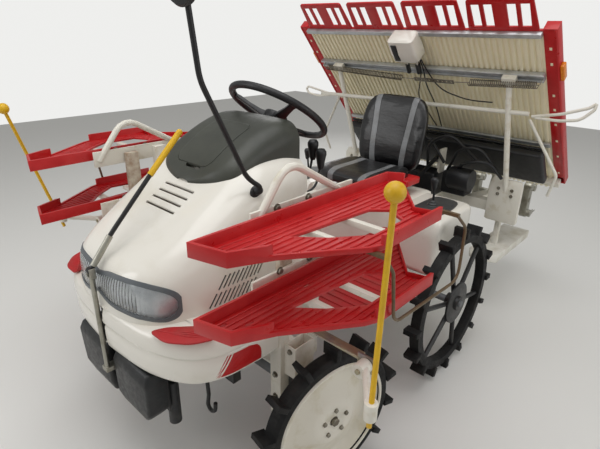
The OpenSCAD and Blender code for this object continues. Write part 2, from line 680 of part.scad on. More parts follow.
// Lift linkage: lower links and top links are parallel
link_dir = [0, cos(link_rise), sin(link_rise)];
low_front = [0, hitch_y, hitch_z];
top_front = [0, hitch_y, top_front_z];
low_rear = low_front + link_len * link_dir;
top_rear = top_front + link_len * link_dir;
link_x = upright_x - 13;
link_w = 15;
link_web = 10;
module link_pair(a, b, d) both() difference() {
    union() {
        for (p = [a, b]) across(link_x, p.y, p.z, d, link_w);
        translate([link_x - link_web / 2, a.y, a.z]) rotate([atan2(b.z - a.z, b.y - a.y), 0, 0])
            translate([0, 0, -d * 0.3]) cube([link_web, norm(b - a), d * 0.6]);
    }
    for (p = [a, b]) across(link_x, p.y, p.z, link_pin_d + 2 * pin_gap, link_w + 4);
}
module lift_links() color("gray") {
    link_pair(low_front, low_rear, 46);
    across(0, low_front.y + 120 * link_dir.y, low_front.z + 120 * link_dir.z, 26, 2 * link_x);
}
module top_link() color("gray") {
    link_pair(top_front, top_rear, 40);
    across(0, top_front.y + 150 * link_dir.y, top_front.z + 150 * link_dir.z, 22, 2 * link_x);
}

// Frame of the stage: s runs down the slope from the top edge, n stands off its upper face
module on_stage() translate([0, stage_top_y, stage_top_z]) rotate([-stage_slope, 0, 0]) children();
function stage_point(x, s, n) = [x, stage_top_y + s * cos(stage_slope) + n * sin(stage_slope),
    stage_top_z - s * sin(stage_slope) + n * cos(stage_slope)];
stage_half = 2 * row_pitch + 6;
stage_t = 11;
upper_rail_s = 205;
lower_rail_s = 960;
slide_gap = 0.5;

// Planting unit frame: hitch, cross beam, planting cases, the stage's supports and its slide rail
stage_low = stage_point(0, stage_len, 0);
rotor_y = stage_low.y + 65;
rotor_z = stage_low.z - 133;
beam_y = low_rear.y + 64;
beam_z = low_rear.z - 37;
beam_half = 27;
rotor_shaft_d = 26;
case_x = row_pitch;
post_half = 470;
post_d = 26;
module stage_post(d) bar([post_half, beam_y, beam_z], stage_point(post_half, upper_rail_s + 16, -56), d);
rail_reach = stage_half + stage_travel - 96;
module planting_frame() color("lightgray") difference() {
    union() {
        both() {
            block([upright_x - 2, low_rear.y - 28, low_rear.z - 64], [upright_x + 9, low_rear.y + 37, top_rear.z + 37]);
            for (p = [low_rear, top_rear]) across(upright_x - 8, p.y, p.z, link_pin_d, 32);
        }
        block([-2 * row_pitch + 90, beam_y - beam_half, beam_z - beam_half], [2 * row_pitch - 90, beam_y + beam_half, beam_z + beam_half]);
        block([-92, beam_y - 20, beam_z - 55], [92, beam_y + 83, beam_z + 55]);
        // planting cases with the posts of the slide rail
        both() {
            hull() {
                block([case_x - 32, beam_y, beam_z - 32], [case_x + 32, beam_y + 40, beam_z + 27]);
                block([case_x - 32, rotor_y - 40, rotor_z - 30], [case_x + 32, rotor_y, rotor_z + 30]);
                across(case_x, rotor_y, rotor_z, 60, 64);
            }
            bar([case_x, 900, 510], stage_point(case_x, lower_rail_s + 12, -40), 24);
            stage_post(post_d);
        }
        on_stage() {
            block([-rail_reach, lower_rail_s, -48], [rail_reach, lower_rail_s + 32, -stage_t - slide_gap]);
            both() block([post_half - 30, upper_rail_s - 6, -66], [post_half + 30, upper_rail_s + 28, -stage_t - 30 - slide_gap]);
        }
    }
    across(0, rotor_y, rotor_z, rotor_shaft_d + 2 * pin_gap, 4 * row_pitch);
}

// White covers in front of the beam
module unit_covers() color("white") both() difference() {
    hull() {
        block([390, beam_y - beam_half - 26, 500], [550, beam_y - beam_half, 690]);
        block([400, beam_y - beam_half - 14, 490], [540, beam_y - beam_half, 720]);
    }
    stage_post(post_d + 0.4);
}

// Floats under the unit, hung from the cross beam on struts
float_low = low_rear.z - 303;
float_h = 55;
module floats() color([0.75, 0.75, 0.72]) for (x = [-1.5 * row_pitch, 0, 1.5 * row_pitch]) translate([x, 0, 0]) {
    half = x == 0 ? 130 : 75;
    hull() {
        block([-half, beam_y - 140, float_low + 10], [half, beam_y + 330, float_low + float_h]);
        block([-half + 15, beam_y - 100, float_low], [half - 15, beam_y + 300, float_low + 9]);
        block([-half * 0.6, beam_y - 210, float_low + 35], [half * 0.6, beam_y - 200, float_low + float_h]);
    }
    block([-14, beam_y - 14, float_low + float_h - 1], [14, beam_y + 14, beam_z - beam_half - (x == 0 ? 28 : 0)]);
}

// Seedling stage with its runners, lane dividers and side frames
module seedling_stage() color("wheat") on_stage() {
    block([-stage_half, 0, -stage_t], [stage_half, stage_len, 0]);
    for (k = [-2 : 2]) translate([k * row_pitch, 0, 0]) block([-4, 0, -1], [4, stage_len, 26]);
    for (x = [-2 * row_pitch + 15 : row_pitch / 10 : 2 * row_pitch - 15])
        block([x - 4, 12, -stage_t - rib_h], [x + 4, lower_rail_s - 8, -stage_t + 1]);
}
rib_h = 6;
// Aluminium rails under the stage: top edge, runner and middle rail
module stage_rails() color("silver") on_stage() difference() {
    union() {
        block([-stage_half, -8, -stage_t - 20], [stage_half, 11.5, -stage_t]);
        block([-stage_half, upper_rail_s - 8, -stage_t - 30], [stage_half, upper_rail_s + 30, -stage_t - rib_h]);
        block([-stage_half, 660, -stage_t - 20], [stage_half, 684, -stage_t - rib_h]);
    }
    block([-stage_half - 1, upper_rail_s + 2, -stage_t - 31], [stage_half + 1, upper_rail_s + 20, -stage_t - 18]);
}
// Control box under the stage's top edge, with its two knobs
module control_box() color("ivory") on_stage() {
    hull() {
        block([-52, 20, -88], [78, 120, -stage_t - rib_h - 6]);
        block([-44, 14, -80], [70, 130, -stage_t - rib_h]);
    }
    for (x = [-6, 48]) {
        bar([x, 125, -62], [x, 168, -66], 8);
        translate([x, 178, -67]) sphere(d = 24);
    }
}
module reflectors() color("orange") on_stage() both() block([stage_half + side_frame_w, 170, -8], [stage_half + side_frame_w + 16, 250, 22]);
side_frame_w = 52;
module stage_tops() color("red") on_stage() {
    both() difference() {
        block([stage_half, -18, -stage_t], [stage_half + side_frame_w, stage_len - 55, 34]);
        block([stage_half + 6, -12, -stage_t - 1], [stage_half + side_frame_w - 6, stage_len - 61, 28]);
    }
    both() for (s = [90, 330, 570, 810]) block([stage_half + 5, s, -stage_t], [stage_half + side_frame_w - 5, s + 60, 4 - stage_t]);
    block([-stage_half, -12, -stage_t + 1], [stage_half, 0, 0]);
    for (k = [-2 : 1]) translate([(k + 0.5) * row_pitch, 0, 2 - stage_t]) linear_extrude(8) difference() {
        offset(r = 12) offset(delta = -12) polygon([[-142, -5], [142, -5], [130, -156], [-130, -156]]);
        for (x = [-98, -46, 46, 98]) translate([x - 18, -132]) square([36, 106]);
    }
}

// Planting rotor of one side: shaft, two rotary cases and their planting arms
rotor_reach = 80;
module planting_rotor() color("silver") {
    across(case_x, rotor_y, rotor_z, rotor_shaft_d, row_pitch + 44);
    for (x = [case_x - row_pitch / 2, case_x + row_pitch / 2]) translate([x, rotor_y, rotor_z]) rotate([0, 90, 0]) {
        hull() for (s = [-1, 1]) translate([s * rotor_reach, 0, -18]) cylinder(h = 36, d = 55);
        for (s = [-1, 1]) scale([s, s, 1]) {
            translate([rotor_reach, 0, 17]) cylinder(h = 22, d = 44);
            hull() {
                translate([rotor_reach, 0, 20]) cylinder(h = 17, d = 32);
                translate([rotor_reach + 8, 56, 23]) cylinder(h = 11, d = 20);
            }
            for (z = [22, 32]) translate([rotor_reach + 2, 50, z]) cube([7, 44, 3]);
        }
    }
}
module rotor_left() planting_rotor();
module rotor_right() mirror([1, 0, 0]) planting_rotor();

place() chassis();
place() gearcase();
place() engine();
place() rear_axle();
place() front_weights();
place() mast_post();
place() sight_mast();
place() bonnet();
place() dash_panel();
place() headlamp_rim();
place() headlamp_lens();
place() cowl();
place() cowl_lid();
place() front_skirt();
place() floor_mats();
place() rear_body();
place() consoles();
place() seat_base();
place() seat();
place() steering_column();
place() steering_wheel();
place() levers();
place() mirror_stay();
place() rack_frames();
place() upper_trays();
place() lower_trays();
place() guard_rods();
place() marker_posts();
place() marker_left();
place() marker_right();
place() knuckle_left();
place() knuckle_right();
place() front_wheel_left();
place() front_wheel_right();
place() front_tyre_left();
place() front_tyre_right();
place() rear_wheel_left();
place() rear_wheel_right();
place() rear_tyre_left();
place() rear_tyre_right();
place() lift_links();
place() top_link();
place() planting_frame();
place() floats();
place() seedling_stage();
place() stage_rails();
place() control_box();
place() reflectors();
place() stage_tops();
place() unit_covers();
place() rotor_left();
place() rotor_right();
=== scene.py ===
# %% [markdown]
# A four-row riding rice transplanter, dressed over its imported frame. The frame gives every body and place;
# this lesson adds the smooth panels, the soft seat, the finishes and the small hardware that the eye expects.

# %% Load the frame
import json
import math
import bpy
from mathutils import Matrix, Vector

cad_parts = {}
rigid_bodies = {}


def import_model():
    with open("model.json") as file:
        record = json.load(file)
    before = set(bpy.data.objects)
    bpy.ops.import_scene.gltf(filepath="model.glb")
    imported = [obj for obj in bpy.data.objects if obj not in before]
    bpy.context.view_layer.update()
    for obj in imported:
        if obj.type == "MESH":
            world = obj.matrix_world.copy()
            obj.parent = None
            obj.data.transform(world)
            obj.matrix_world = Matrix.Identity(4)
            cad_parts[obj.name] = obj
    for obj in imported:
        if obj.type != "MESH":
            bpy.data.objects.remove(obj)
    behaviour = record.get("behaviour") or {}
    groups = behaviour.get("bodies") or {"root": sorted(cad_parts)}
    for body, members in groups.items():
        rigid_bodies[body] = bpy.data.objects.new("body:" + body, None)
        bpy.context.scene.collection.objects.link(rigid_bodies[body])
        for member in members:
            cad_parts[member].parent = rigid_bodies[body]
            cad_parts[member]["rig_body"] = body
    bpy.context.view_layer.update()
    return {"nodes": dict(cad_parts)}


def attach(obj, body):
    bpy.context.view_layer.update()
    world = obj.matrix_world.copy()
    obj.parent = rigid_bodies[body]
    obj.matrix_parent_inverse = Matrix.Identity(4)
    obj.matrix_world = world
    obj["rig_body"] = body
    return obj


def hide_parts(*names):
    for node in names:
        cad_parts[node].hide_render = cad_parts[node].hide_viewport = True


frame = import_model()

# %% [markdown]
# The drawing of the machine is in millimetres with the rear axle at y = 0, so one helper turns a place on the
# drawing into metres in the frame. Operators act on whatever is selected, so a second helper clears and picks,
# and two more open a mesh for editing and close it again.

# %% Places and selection
AXLE_SHIFT = 0.0325


def at(x, y, z):
    return Vector((x / 1000, y / 1000 + AXLE_SHIFT, z / 1000))


def pick(*pieces):
    if bpy.context.object and bpy.context.object.mode != "OBJECT":
        bpy.ops.object.mode_set(mode="OBJECT")
    bpy.ops.object.select_all(action="DESELECT")
    for piece in pieces:
        piece.select_set(True)
    bpy.context.view_layer.objects.active = pieces[0]


def open_mesh(piece, action="SELECT"):
    """Edit mode on one piece, with all of it selected or none of it."""
    pick(piece)
    bpy.ops.object.mode_set(mode="EDIT")
    bpy.ops.mesh.select_all(action=action)


def close_mesh():
    bpy.ops.object.mode_set(mode="OBJECT")


def apply_modifier(piece, kind, **settings):
    modifier = piece.modifiers.new(kind.lower(), kind)
    for name, value in settings.items():
        setattr(modifier, name, value)
    pick(piece)
    bpy.ops.object.modifier_apply(modifier=modifier.name)


def smooth(piece, degrees=35):
    pick(piece)
    bpy.ops.object.shade_smooth_by_angle(angle=math.radians(degrees))


def fix_place(piece):
    pick(piece)
    bpy.ops.object.transform_apply(location=True, rotation=True, scale=True)


def join(name, parts):
    pick(*parts)
    if len(parts) > 1:
        bpy.ops.object.join()
    piece = bpy.context.object
    piece.name = name
    piece.data.name = name
    fix_place(piece)
    return piece


# %% [markdown]
# The camera stands where the photograph was taken from, a little above the driver's left front corner. A
# constraint could aim it, but its place and turn came from fitting the drawing to the photograph, so they are
# written down as plain numbers and made into one matrix.

# %% Camera
CAMERA_PLACE = at(1247.1, -1722.1, 1410.3)
CAMERA_TURN = (42.73, 22.65, -0.83)
FOCAL_PIXELS = 467.64
IMAGE_WIDTH = 600
SENSOR_MM = 36

turn, dip, roll = (math.radians(angle) for angle in CAMERA_TURN)
right = Vector((math.cos(turn), math.sin(turn), 0))
ahead = Vector((-math.sin(turn), math.cos(turn), 0))
forward = math.cos(dip) * ahead - math.sin(dip) * Vector((0, 0, 1))
down = -math.sin(dip) * ahead - math.cos(dip) * Vector((0, 0, 1))
right_rolled = math.cos(roll) * right + math.sin(roll) * down
down_rolled = -math.sin(roll) * right + math.cos(roll) * down
camera_data = bpy.data.cameras.new("photo_camera")
camera_data.sensor_width = SENSOR_MM
camera_data.lens = FOCAL_PIXELS * SENSOR_MM / IMAGE_WIDTH
camera = bpy.data.objects.new("photo_camera", camera_data)
bpy.context.scene.collection.objects.link(camera)
camera.matrix_world = Matrix.Translation(CAMERA_PLACE) @ Matrix(
    (right_rolled, -down_rolled, -forward)).transposed().to_4x4()
bpy.context.scene.camera = camera
print("lens:", round(camera_data.lens, 2), "mm")

# %% [markdown]
# Each finish is a node material. One function turns a hex colour to the linear numbers that the shader wants,
# and one adds a node with its settings and links. Sizes of patterns are given in millimetres on the object.

# %% Colour and node helpers


def colour(code):
    values = [int(code[i:i + 2], 16) / 255 for i in (1, 3, 5)]
    return tuple(v / 12.92 if v <= 0.04045 else ((v + 0.055) / 1.055) ** 2.4 for v in values) + (1.0,)


def add_node(tree, kind, links=None, values=None, **settings):
    made = tree.nodes.new(kind)
    for name, value in settings.items():
        setattr(made, name, value)
    for name, value in (values or {}).items():
        made.inputs[name].default_value = value
    for name, source in (links or {}).items():
        tree.links.new(source, made.inputs[name])
    return made


def new_finish(name, **sockets):
    material = bpy.data.materials.new(name)
    material.use_nodes = True
    tree = material.node_tree
    shader = tree.nodes["Principled BSDF"]
    for socket, value in sockets.items():
        shader.inputs[socket.replace("_", " ").replace("Specular Level", "Specular IOR Level")].default_value = value
    coordinates = add_node(tree, "ShaderNodeTexCoord").outputs["Object"]
    return material, tree, shader, coordinates


def cells_per_metre(size_mm):
    return 1000 / size_mm


def noise_mask(tree, coordinates, size_mm, low, high, detail=5.0, rough=0.6, stretch=None):
    place = coordinates
    if stretch:
        place = add_node(tree, "ShaderNodeMapping", {"Vector": coordinates}, {"Scale": stretch}).outputs[0]
    noise = add_node(tree, "ShaderNodeTexNoise", {"Vector": place},
                     {"Scale": cells_per_metre(size_mm), "Detail": detail, "Roughness": rough})
    return add_node(tree, "ShaderNodeMapRange", {"Value": noise.outputs["Fac"]},
                    {"From Min": low, "From Max": high}).outputs[0]


def blend_colours(tree, mask, first, second):
    mix = add_node(tree, "ShaderNodeMix", {"Factor": mask}, data_type="RGBA")
    for slot_index, value in ((6, first), (7, second)):
        if isinstance(value, tuple):
            mix.inputs[slot_index].default_value = value
        else:
            tree.links.new(value, mix.inputs[slot_index])
    return mix.outputs[2]


def add_bump(tree, shader, height, depth_mm, strength=1.0):
    bump = add_node(tree, "ShaderNodeBump", {"Height": height}, {"Strength": strength, "Distance": depth_mm / 1000})
    before = shader.inputs["Normal"].links
    if before:
        tree.links.new(before[0].from_socket, bump.inputs["Normal"])
    tree.links.new(bump.outputs[0], shader.inputs["Normal"])


# %% [markdown]
# The recipe below is shared by moulded plastic, paint and castings: a base colour, a second colour where dust or
# sun has changed it, a slow change in roughness, and a fine grain in the surface.

# %% Weathered finish


def weathered(name, base, aged, patch_mm, share, grain_mm, grain_depth_mm, rough_low, rough_high, **sockets):
    material, tree, shader, coordinates = new_finish(name, **sockets)
    mask = noise_mask(tree, coordinates, patch_mm, 0.62 - share * 0.4, 0.78)
    tree.links.new(blend_colours(tree, mask, colour(base), colour(aged)), shader.inputs["Base Color"])
    rough = add_node(tree, "ShaderNodeMapRange", {"Value": noise_mask(tree, coordinates, patch_mm / 3, 0.3, 0.7)},
                     {"To Min": rough_low, "To Max": rough_high}).outputs[0]
    tree.links.new(rough, shader.inputs["Roughness"])
    grain = add_node(tree, "ShaderNodeTexNoise", {"Vector": coordinates},
                     {"Scale": cells_per_metre(grain_mm), "Detail": 3.0}).outputs["Fac"]
    add_bump(tree, shader, grain, grain_depth_mm)
    return material


FINISHES = {
    # moulded panels: injection-moulded plastic, glossy with a thin film of dust
    "ivory_panel": weathered("moulded_ivory", "#EAE6DC", "#DDD7C8", 240, 0.2, 2.5, 0.02, 0.16, 0.27,
                             Coat_Weight=0.35, Coat_Roughness=0.12),
    # racks and brackets: sprayed white paint that has yellowed
    "white_steel": weathered("sprayed_white", "#E4E0D4", "#C9BFA4", 55, 0.2, 1.8, 0.05, 0.34, 0.55),
    # front wheels: sprayed cream enamel, dulled by mud and water
    "wheel_ivory": weathered("painted_wheel", "#E2DDD0", "#CDC4AA", 90, 0.25, 2.2, 0.05, 0.35, 0.55),
    # trays and side frames: polypropylene in a full red, a little paler where the sun has reached it
    "red_tray": weathered("bleached_red", "#B90F14", "#C92B2B", 120, 0.4, 2.0, 0.05, 0.26, 0.42),
    # floor and step mats: moulded rubber that is walked on, so it is matt and browner in patches
    "red_mat": weathered("worn_red_mat", "#B02023", "#8E3A34", 60, 0.4, 1.5, 0.10, 0.45, 0.65),
    # rubber: matt black with dust in the low places
    "tyre_rubber": weathered("dusty_rubber", "#0E0E0F", "#23211E", 60, 0.45, 1.5, 0.15, 0.55, 0.8,
                             Specular_Level=0.3),
    # cowl and consoles: grained ABS, faded by the sun, with a soft wide sheen
    "cowl_plastic": weathered("faded_olive", "#34362F", "#43453C", 150, 0.5, 1.2, 0.06, 0.38, 0.52),
    "console_plastic": weathered("console_grey", "#3A3B3C", "#4A4A48", 90, 0.4, 1.0, 0.05, 0.45, 0.6),
    # grips, mirror and covers: black nylon and ABS as they leave the mould
    "black_plastic": weathered("black_moulding", "#111215", "#1E1F21", 80, 0.4, 1.0, 0.05, 0.38, 0.55),
    # links and rods: black gloss paint, which keeps a narrow line of light along a bar
    "black_steel": weathered("black_paint", "#0D0E10", "#1C1B1A", 60, 0.35, 1.6, 0.05, 0.28, 0.45),
    # front weights: sand-cast iron under paint, coarse enough to break the light up
    "weight_iron": weathered("black_casting", "#0D0F11", "#1B1E20", 50, 0.4, 4.0, 0.35, 0.35, 0.55),
    # chassis: painted steel with dry dust
    "frame_steel": weathered("chassis_paint", "#1F2022", "#34312C", 60, 0.5, 1.6, 0.08, 0.40, 0.62),
    # cases: bare cast aluminium and painted iron, stained by oil
    "cast_case": weathered("grey_casting", "#6D7073", "#4A4640", 70, 0.5, 3.5, 0.25, 0.45, 0.65, Metallic=0.3),
    "engine_block": weathered("engine_paint", "#34363A", "#25241F", 70, 0.5, 3.0, 0.2, 0.45, 0.7),
    # guard rods: steel wire under bronze paint, a little metallic
    "bronze_rod": weathered("bronze_paint", "#6E5B42", "#4F4232", 40, 0.4, 1.2, 0.04, 0.35, 0.5, Metallic=0.4),
    # marker poles, balls and the mast's grip: yellow polyethylene
    "marker_yellow": weathered("marker_yellow", "#E3B411", "#C99B17", 50, 0.4, 1.4, 0.04, 0.32, 0.5),
    "lamp_rim": weathered("lamp_rim_grey", "#5A5F63", "#6B6E6F", 60, 0.3, 1.0, 0.03, 0.35, 0.5),
    # floats: foamed plastic with a skin, chalky where mud has dried on it
    "float_foam": weathered("float_white", "#E2DFD6", "#BDB6A2", 90, 0.5, 3.0, 0.1, 0.5, 0.7),
    # rear wheels: welded steel tube under black paint
    "wheel_black": weathered("wheel_black", "#0C0C0E", "#201E1B", 50, 0.4, 1.6, 0.06, 0.35, 0.5),
}
# the posts behind the bonnet have rusted through their paint
WORN_WHITE = weathered("rusted_white", "#CFC6B4", "#8A5A36", 26, 0.75, 1.6, 0.12, 0.45, 0.7)
print("weathered finishes:", len(FINISHES) + 1)

# %% [markdown]
# Metal parts under the stage are extruded and cast aluminium, and the mast and rotors are zinc plated steel.
# Metal is mostly reflection, so their colours stay pale and the brushed marks run along the rails.

# %% Metals


def bright_metal(name, base, aged, grain_scale, rough_low, rough_high, metallic):
    material, tree, shader, coordinates = new_finish(name, Metallic=metallic)
    mask = noise_mask(tree, coordinates, 60, 0.45, 0.75)
    tree.links.new(blend_colours(tree, mask, colour(base), colour(aged)), shader.inputs["Base Color"])
    brushed = noise_mask(tree, coordinates, 4, 0.2, 0.8, stretch=grain_scale)
    rough = add_node(tree, "ShaderNodeMapRange", {"Value": brushed}, {"To Min": rough_low, "To Max": rough_high})
    tree.links.new(rough.outputs[0], shader.inputs["Roughness"])
    add_bump(tree, shader, brushed, 0.04)
    return material


FINISHES["unit_aluminium"] = bright_metal("aged_aluminium", "#C3C6C8", "#A2A29E", (0.05, 1, 1), 0.38, 0.55, 0.75)
FINISHES["zinc"] = bright_metal("zinc_plate", "#A9A79C", "#7E7A6B", (1, 1, 0.2), 0.28, 0.46, 0.9)
BOLT_STEEL = bright_metal("bolt_steel", "#8F8A7E", "#5E5648", (1, 1, 1), 0.35, 0.55, 0.9)
CHROMATE = bright_metal("yellow_chromate", "#A79F86", "#7B6F7C", (1, 1, 1), 0.25, 0.42, 0.8)
print("materials so far:", len(bpy.data.materials))

# %% [markdown]
# The seedling stage is a cream plastic sheet with vertical folds. Broad patches of grime change its colour a
# little, and small spots lie on them. The reflectors are orange plastic, pressed in facets that catch the light.

# %% Stage plastic and reflectors
material, tree, shader, coordinates = new_finish("cream_stage", Roughness=0.42)
grime = noise_mask(tree, coordinates, 120, 0.5, 0.85)
spots = noise_mask(tree, coordinates, 9, 0.72, 0.84)
base = blend_colours(tree, grime, colour("#F3EACB"), colour("#EEE4C4"))
tree.links.new(blend_colours(tree, spots, base, colour("#D6CAA4")), shader.inputs["Base Color"])
add_bump(tree, shader, grime, 0.04)
FINISHES["stage_plastic"] = material
material, tree, shader, coordinates = new_finish("orange_reflector", Roughness=0.18)
facets = add_node(tree, "ShaderNodeTexVoronoi", {"Vector": coordinates}, {"Scale": cells_per_metre(5)})
tint = blend_colours(tree, facets.outputs["Distance"], colour("#F39A17"), colour("#D96A05"))
tree.links.new(tint, shader.inputs["Base Color"])
add_bump(tree, shader, facets.outputs["Distance"], 0.8)
FINISHES["reflector_orange"] = material

# %% [markdown]
# Most CAD nodes already have the right shape but their edges are razor sharp, which no real part has. A copy of
# each is merged, its flat faces are dissolved, and a small bevel gives every edge a line of light.

# %% Soften the edges of the plain nodes


EDGE_ANGLE = 35
MERGE_WITHIN = 0.00002
FLAT_WITHIN = math.radians(0.8)


def finish(piece, body, slot_name, *nodes, material=None):
    """The piece gets its material, chosen by slot name unless one is given, and the body that carries it; the nodes it
    stands for are hidden.
    """
    piece.data.materials.clear()
    piece.data.materials.append(material or FINISHES[slot_name])
    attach(piece, body)
    if nodes:
        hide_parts(*nodes)


def bevel_edges(piece, width_mm, segments=2, degrees=50):
    """Rounds only the edges at which the surface turns by more than so many degrees."""
    apply_modifier(piece, "BEVEL", width=width_mm / 1000, segments=segments, limit_method="ANGLE",
                   angle_limit=math.radians(degrees))


def soften(node_name, slot_name, width_mm):
    source = frame["nodes"][node_name]
    piece = bpy.data.objects.new(node_name + "_skin", source.data.copy())
    bpy.context.scene.collection.objects.link(piece)
    open_mesh(piece)
    bpy.ops.mesh.remove_doubles(threshold=MERGE_WITHIN)
    bpy.ops.mesh.dissolve_limited(angle_limit=FLAT_WITHIN)
    close_mesh()
    if width_mm:
        bevel_edges(piece, width_mm, degrees=EDGE_ANGLE)
    smooth(piece, EDGE_ANGLE)
    finish(piece, source["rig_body"], slot_name, node_name)


# node, finish and width of the bevel in millimetres
SOFTENED = [
    ("chassis", "frame_steel", 1.5), ("gearcase", "cast_case", 3.0), ("engine", "engine_block", 6.0),
    ("rear_axle", "cast_case", 3.0), ("front_weights", "weight_iron", 9.0), ("mast_post", "zinc", 1.0),
    ("dash_panel", "ivory_panel", 2.0), ("floor_mats", "red_mat", 1.5), ("seat_base", "black_steel", 1.5),
    ("steering_column", "black_steel", 1.5),
    ("rack_frames", "white_steel", 1.5), ("upper_trays", "red_tray", 1.4), ("lower_trays", "red_tray", 1.4),
    ("guard_rods", "bronze_rod", 0.0), ("marker_posts", "white_steel", 1.2), ("marker_left", "marker_yellow", 0.8),
    ("marker_right", "marker_yellow", 0.8), ("knuckle_left", "cast_case", 3.0), ("knuckle_right", "cast_case", 3.0),
    ("front_tyre_left", "tyre_rubber", 2.5), ("front_tyre_right", "tyre_rubber", 2.5),
    ("rear_wheel_left", "wheel_black", 1.0), ("rear_wheel_right", "wheel_black", 1.0),
    ("rear_tyre_left", "tyre_rubber", 2.5), ("rear_tyre_right", "tyre_rubber", 2.5),
    ("lift_links", "black_steel", 2.0), ("top_link", "black_steel", 2.0), ("planting_frame", "white_steel", 2.0),
    ("floats", "float_foam", 6.0), ("stage_rails", "unit_aluminium", 1.0),
    ("reflectors", "reflector_orange", 3.0), ("stage_tops", "red_tray", 1.5),
    ("unit_covers", "white_steel", 6.0), ("rotor_left", "zinc", 2.0), ("rotor_right", "zinc", 2.0),
]
for node_name, slot_name, width_mm in SOFTENED:
    soften(node_name, slot_name, width_mm)
print("softened nodes:", len(SOFTENED))

# %% [markdown]
# A curved panel is easiest to think of as a grid whose rows are bent to sections. The primitive grid gives the
# faces, and each vertex is then set on its section. The sections of the bonnet are joined by smooth curves.

# %% Grids bent to sections


def bent_grid(name, rows, close_around=False):
    across, along = len(rows[0]), len(rows)
    bpy.ops.mesh.primitive_grid_add(x_subdivisions=across - 1, y_subdivisions=along - 1, size=1)
    piece = bpy.context.object
    piece.name = piece.data.name = name
    places = [place for row in rows for place in row]
    assert len(piece.data.vertices) == len(places), (len(piece.data.vertices), len(places))
    for vertex, place in zip(piece.data.vertices, places):
        vertex.co = place
    piece.matrix_world = Matrix.Identity(4)
    if close_around:
        open_mesh(piece)
        bpy.ops.mesh.remove_doubles(threshold=0.00005)
        bpy.ops.mesh.normals_make_consistent(inside=False)
        close_mesh()
    return piece


def between(stations, t):
    """Catmull-Rom blend of a list of equal tuples, t from 0 to len - 1."""
    i = min(int(t), len(stations) - 2)
    u = t - i
    p = [stations[max(0, min(len(stations) - 1, i + k))] for k in (-1, 0, 1, 2)]
    return tuple(0.5 * (2 * b + (c - a) * u + (2 * a - 5 * b + 4 * c - d) * u * u + (3 * b - a - 3 * c + d) * u ** 3)
                 for a, b, c, d in zip(*p))


BONNET_HALF = 275
SKIRT_TOP = 642
# y, share of the full width, height of the top, radius of the shoulders
BONNET = [(-1240, 0.36, 734, 37), (-1215, 0.66, 775, 64), (-1165, 0.84, 807, 82), (-1082, 0.95, 857, 101),
          (-972, 1.00, 926, 119), (-825, 1.00, 1013, 128), (-679, 0.92, 1036, 110), (-587, 0.84, 1018, 83)]
CROWN, LEAN = 5, 4
SHOULDER_STEPS = 12


def bonnet_section(y, half, top, radius, low, grow=0.0):
    """Half-round shoulders, a lightly crowned top and sides that lean in a little; left to right over the top."""
    half, top, radius = half + grow, top + grow, radius + grow
    left = [(-half, low + (top - radius - low) * k / 5) for k in range(5)]
    arc = []
    for k in range(SHOULDER_STEPS + 1):
        turn_to = math.pi / 2 * k / SHOULDER_STEPS
        arc.append((-half + radius - radius * math.cos(turn_to), top - radius + radius * math.sin(turn_to)))
    flat = half - radius
    top_row = [(-flat + 2 * flat * k / 10, top) for k in range(1, 10)]
    outline = left + arc + top_row + [(-x, z) for x, z in reversed(arc)] + [(-x, z) for x, z in reversed(left)]
    shaped = []
    for x, z in outline:
        rise = max(0.0, 1 - (x / half) ** 2) * CROWN if z > top - radius * 0.5 else 0.0
        drawn_in = LEAN / half * (z - low) / max(1, top - low) * 0.5
        shaped.append((x * (1 - drawn_in), y, z + rise * (z - low) / (top - low)))
    return shaped


def bonnet_rows(grow=0.0, last=7.0, count=44, low=SKIRT_TOP - 4):
    rows = []
    for k in range(count + 1):
        t = last * k / count
        y, share, top, radius = between(BONNET, t)
        rows.append(bonnet_section(y - grow * (1 if t < 1 else 0), share * BONNET_HALF, top, radius, low, grow))
    return rows


def nose_rows(rows):
    """Closes the front with rows that shrink towards the middle of the first section and bulge forwards."""
    first = rows[0]
    low = first[0][2]
    closing = []
    for share, forward_mm in ((0.0, 5.0), (0.35, 4.5), (0.7, 3.2), (0.9, 1.4)):
        closing.append([(x * share, y - forward_mm, low + (z - low) * share) for x, y, z in first])
    return closing + rows


def placed(rows):
    return [[at(*place) for place in row] for row in rows]


BONNET_SHELL = bent_grid("bonnet_panel", placed(nose_rows(bonnet_rows())))
print("bonnet grid:", len(BONNET_SHELL.data.polygons), "faces")

# %% [markdown]
# Openings are cut with solids: slots with round ends, slanted louvres, and the lamp's outline pushed through the
# nose. A primitive cylinder is stretched and bevelled into each cutter, then all are joined and cut once.

# %% Cut the bonnet's openings
SHELL_MM = 4


def flip_out(piece, away_from):
    """Turns the faces of an open shell so that they look away from a place inside."""
    total = sum((face.center - away_from).dot(face.normal) * face.area for face in piece.data.polygons)
    if total < 0:
        open_mesh(piece)
        bpy.ops.mesh.flip_normals()
        close_mesh()


def thicken(piece, wall_mm):
    """Gives an open shell its wall, which grows inwards from the drawn surface."""
    apply_modifier(piece, "SOLIDIFY", thickness=wall_mm / 1000, offset=-1)


def cut(piece, tool, operation="DIFFERENCE"):
    apply_modifier(piece, "BOOLEAN", object=tool, operation=operation, solver="EXACT")
    bpy.data.objects.remove(tool)


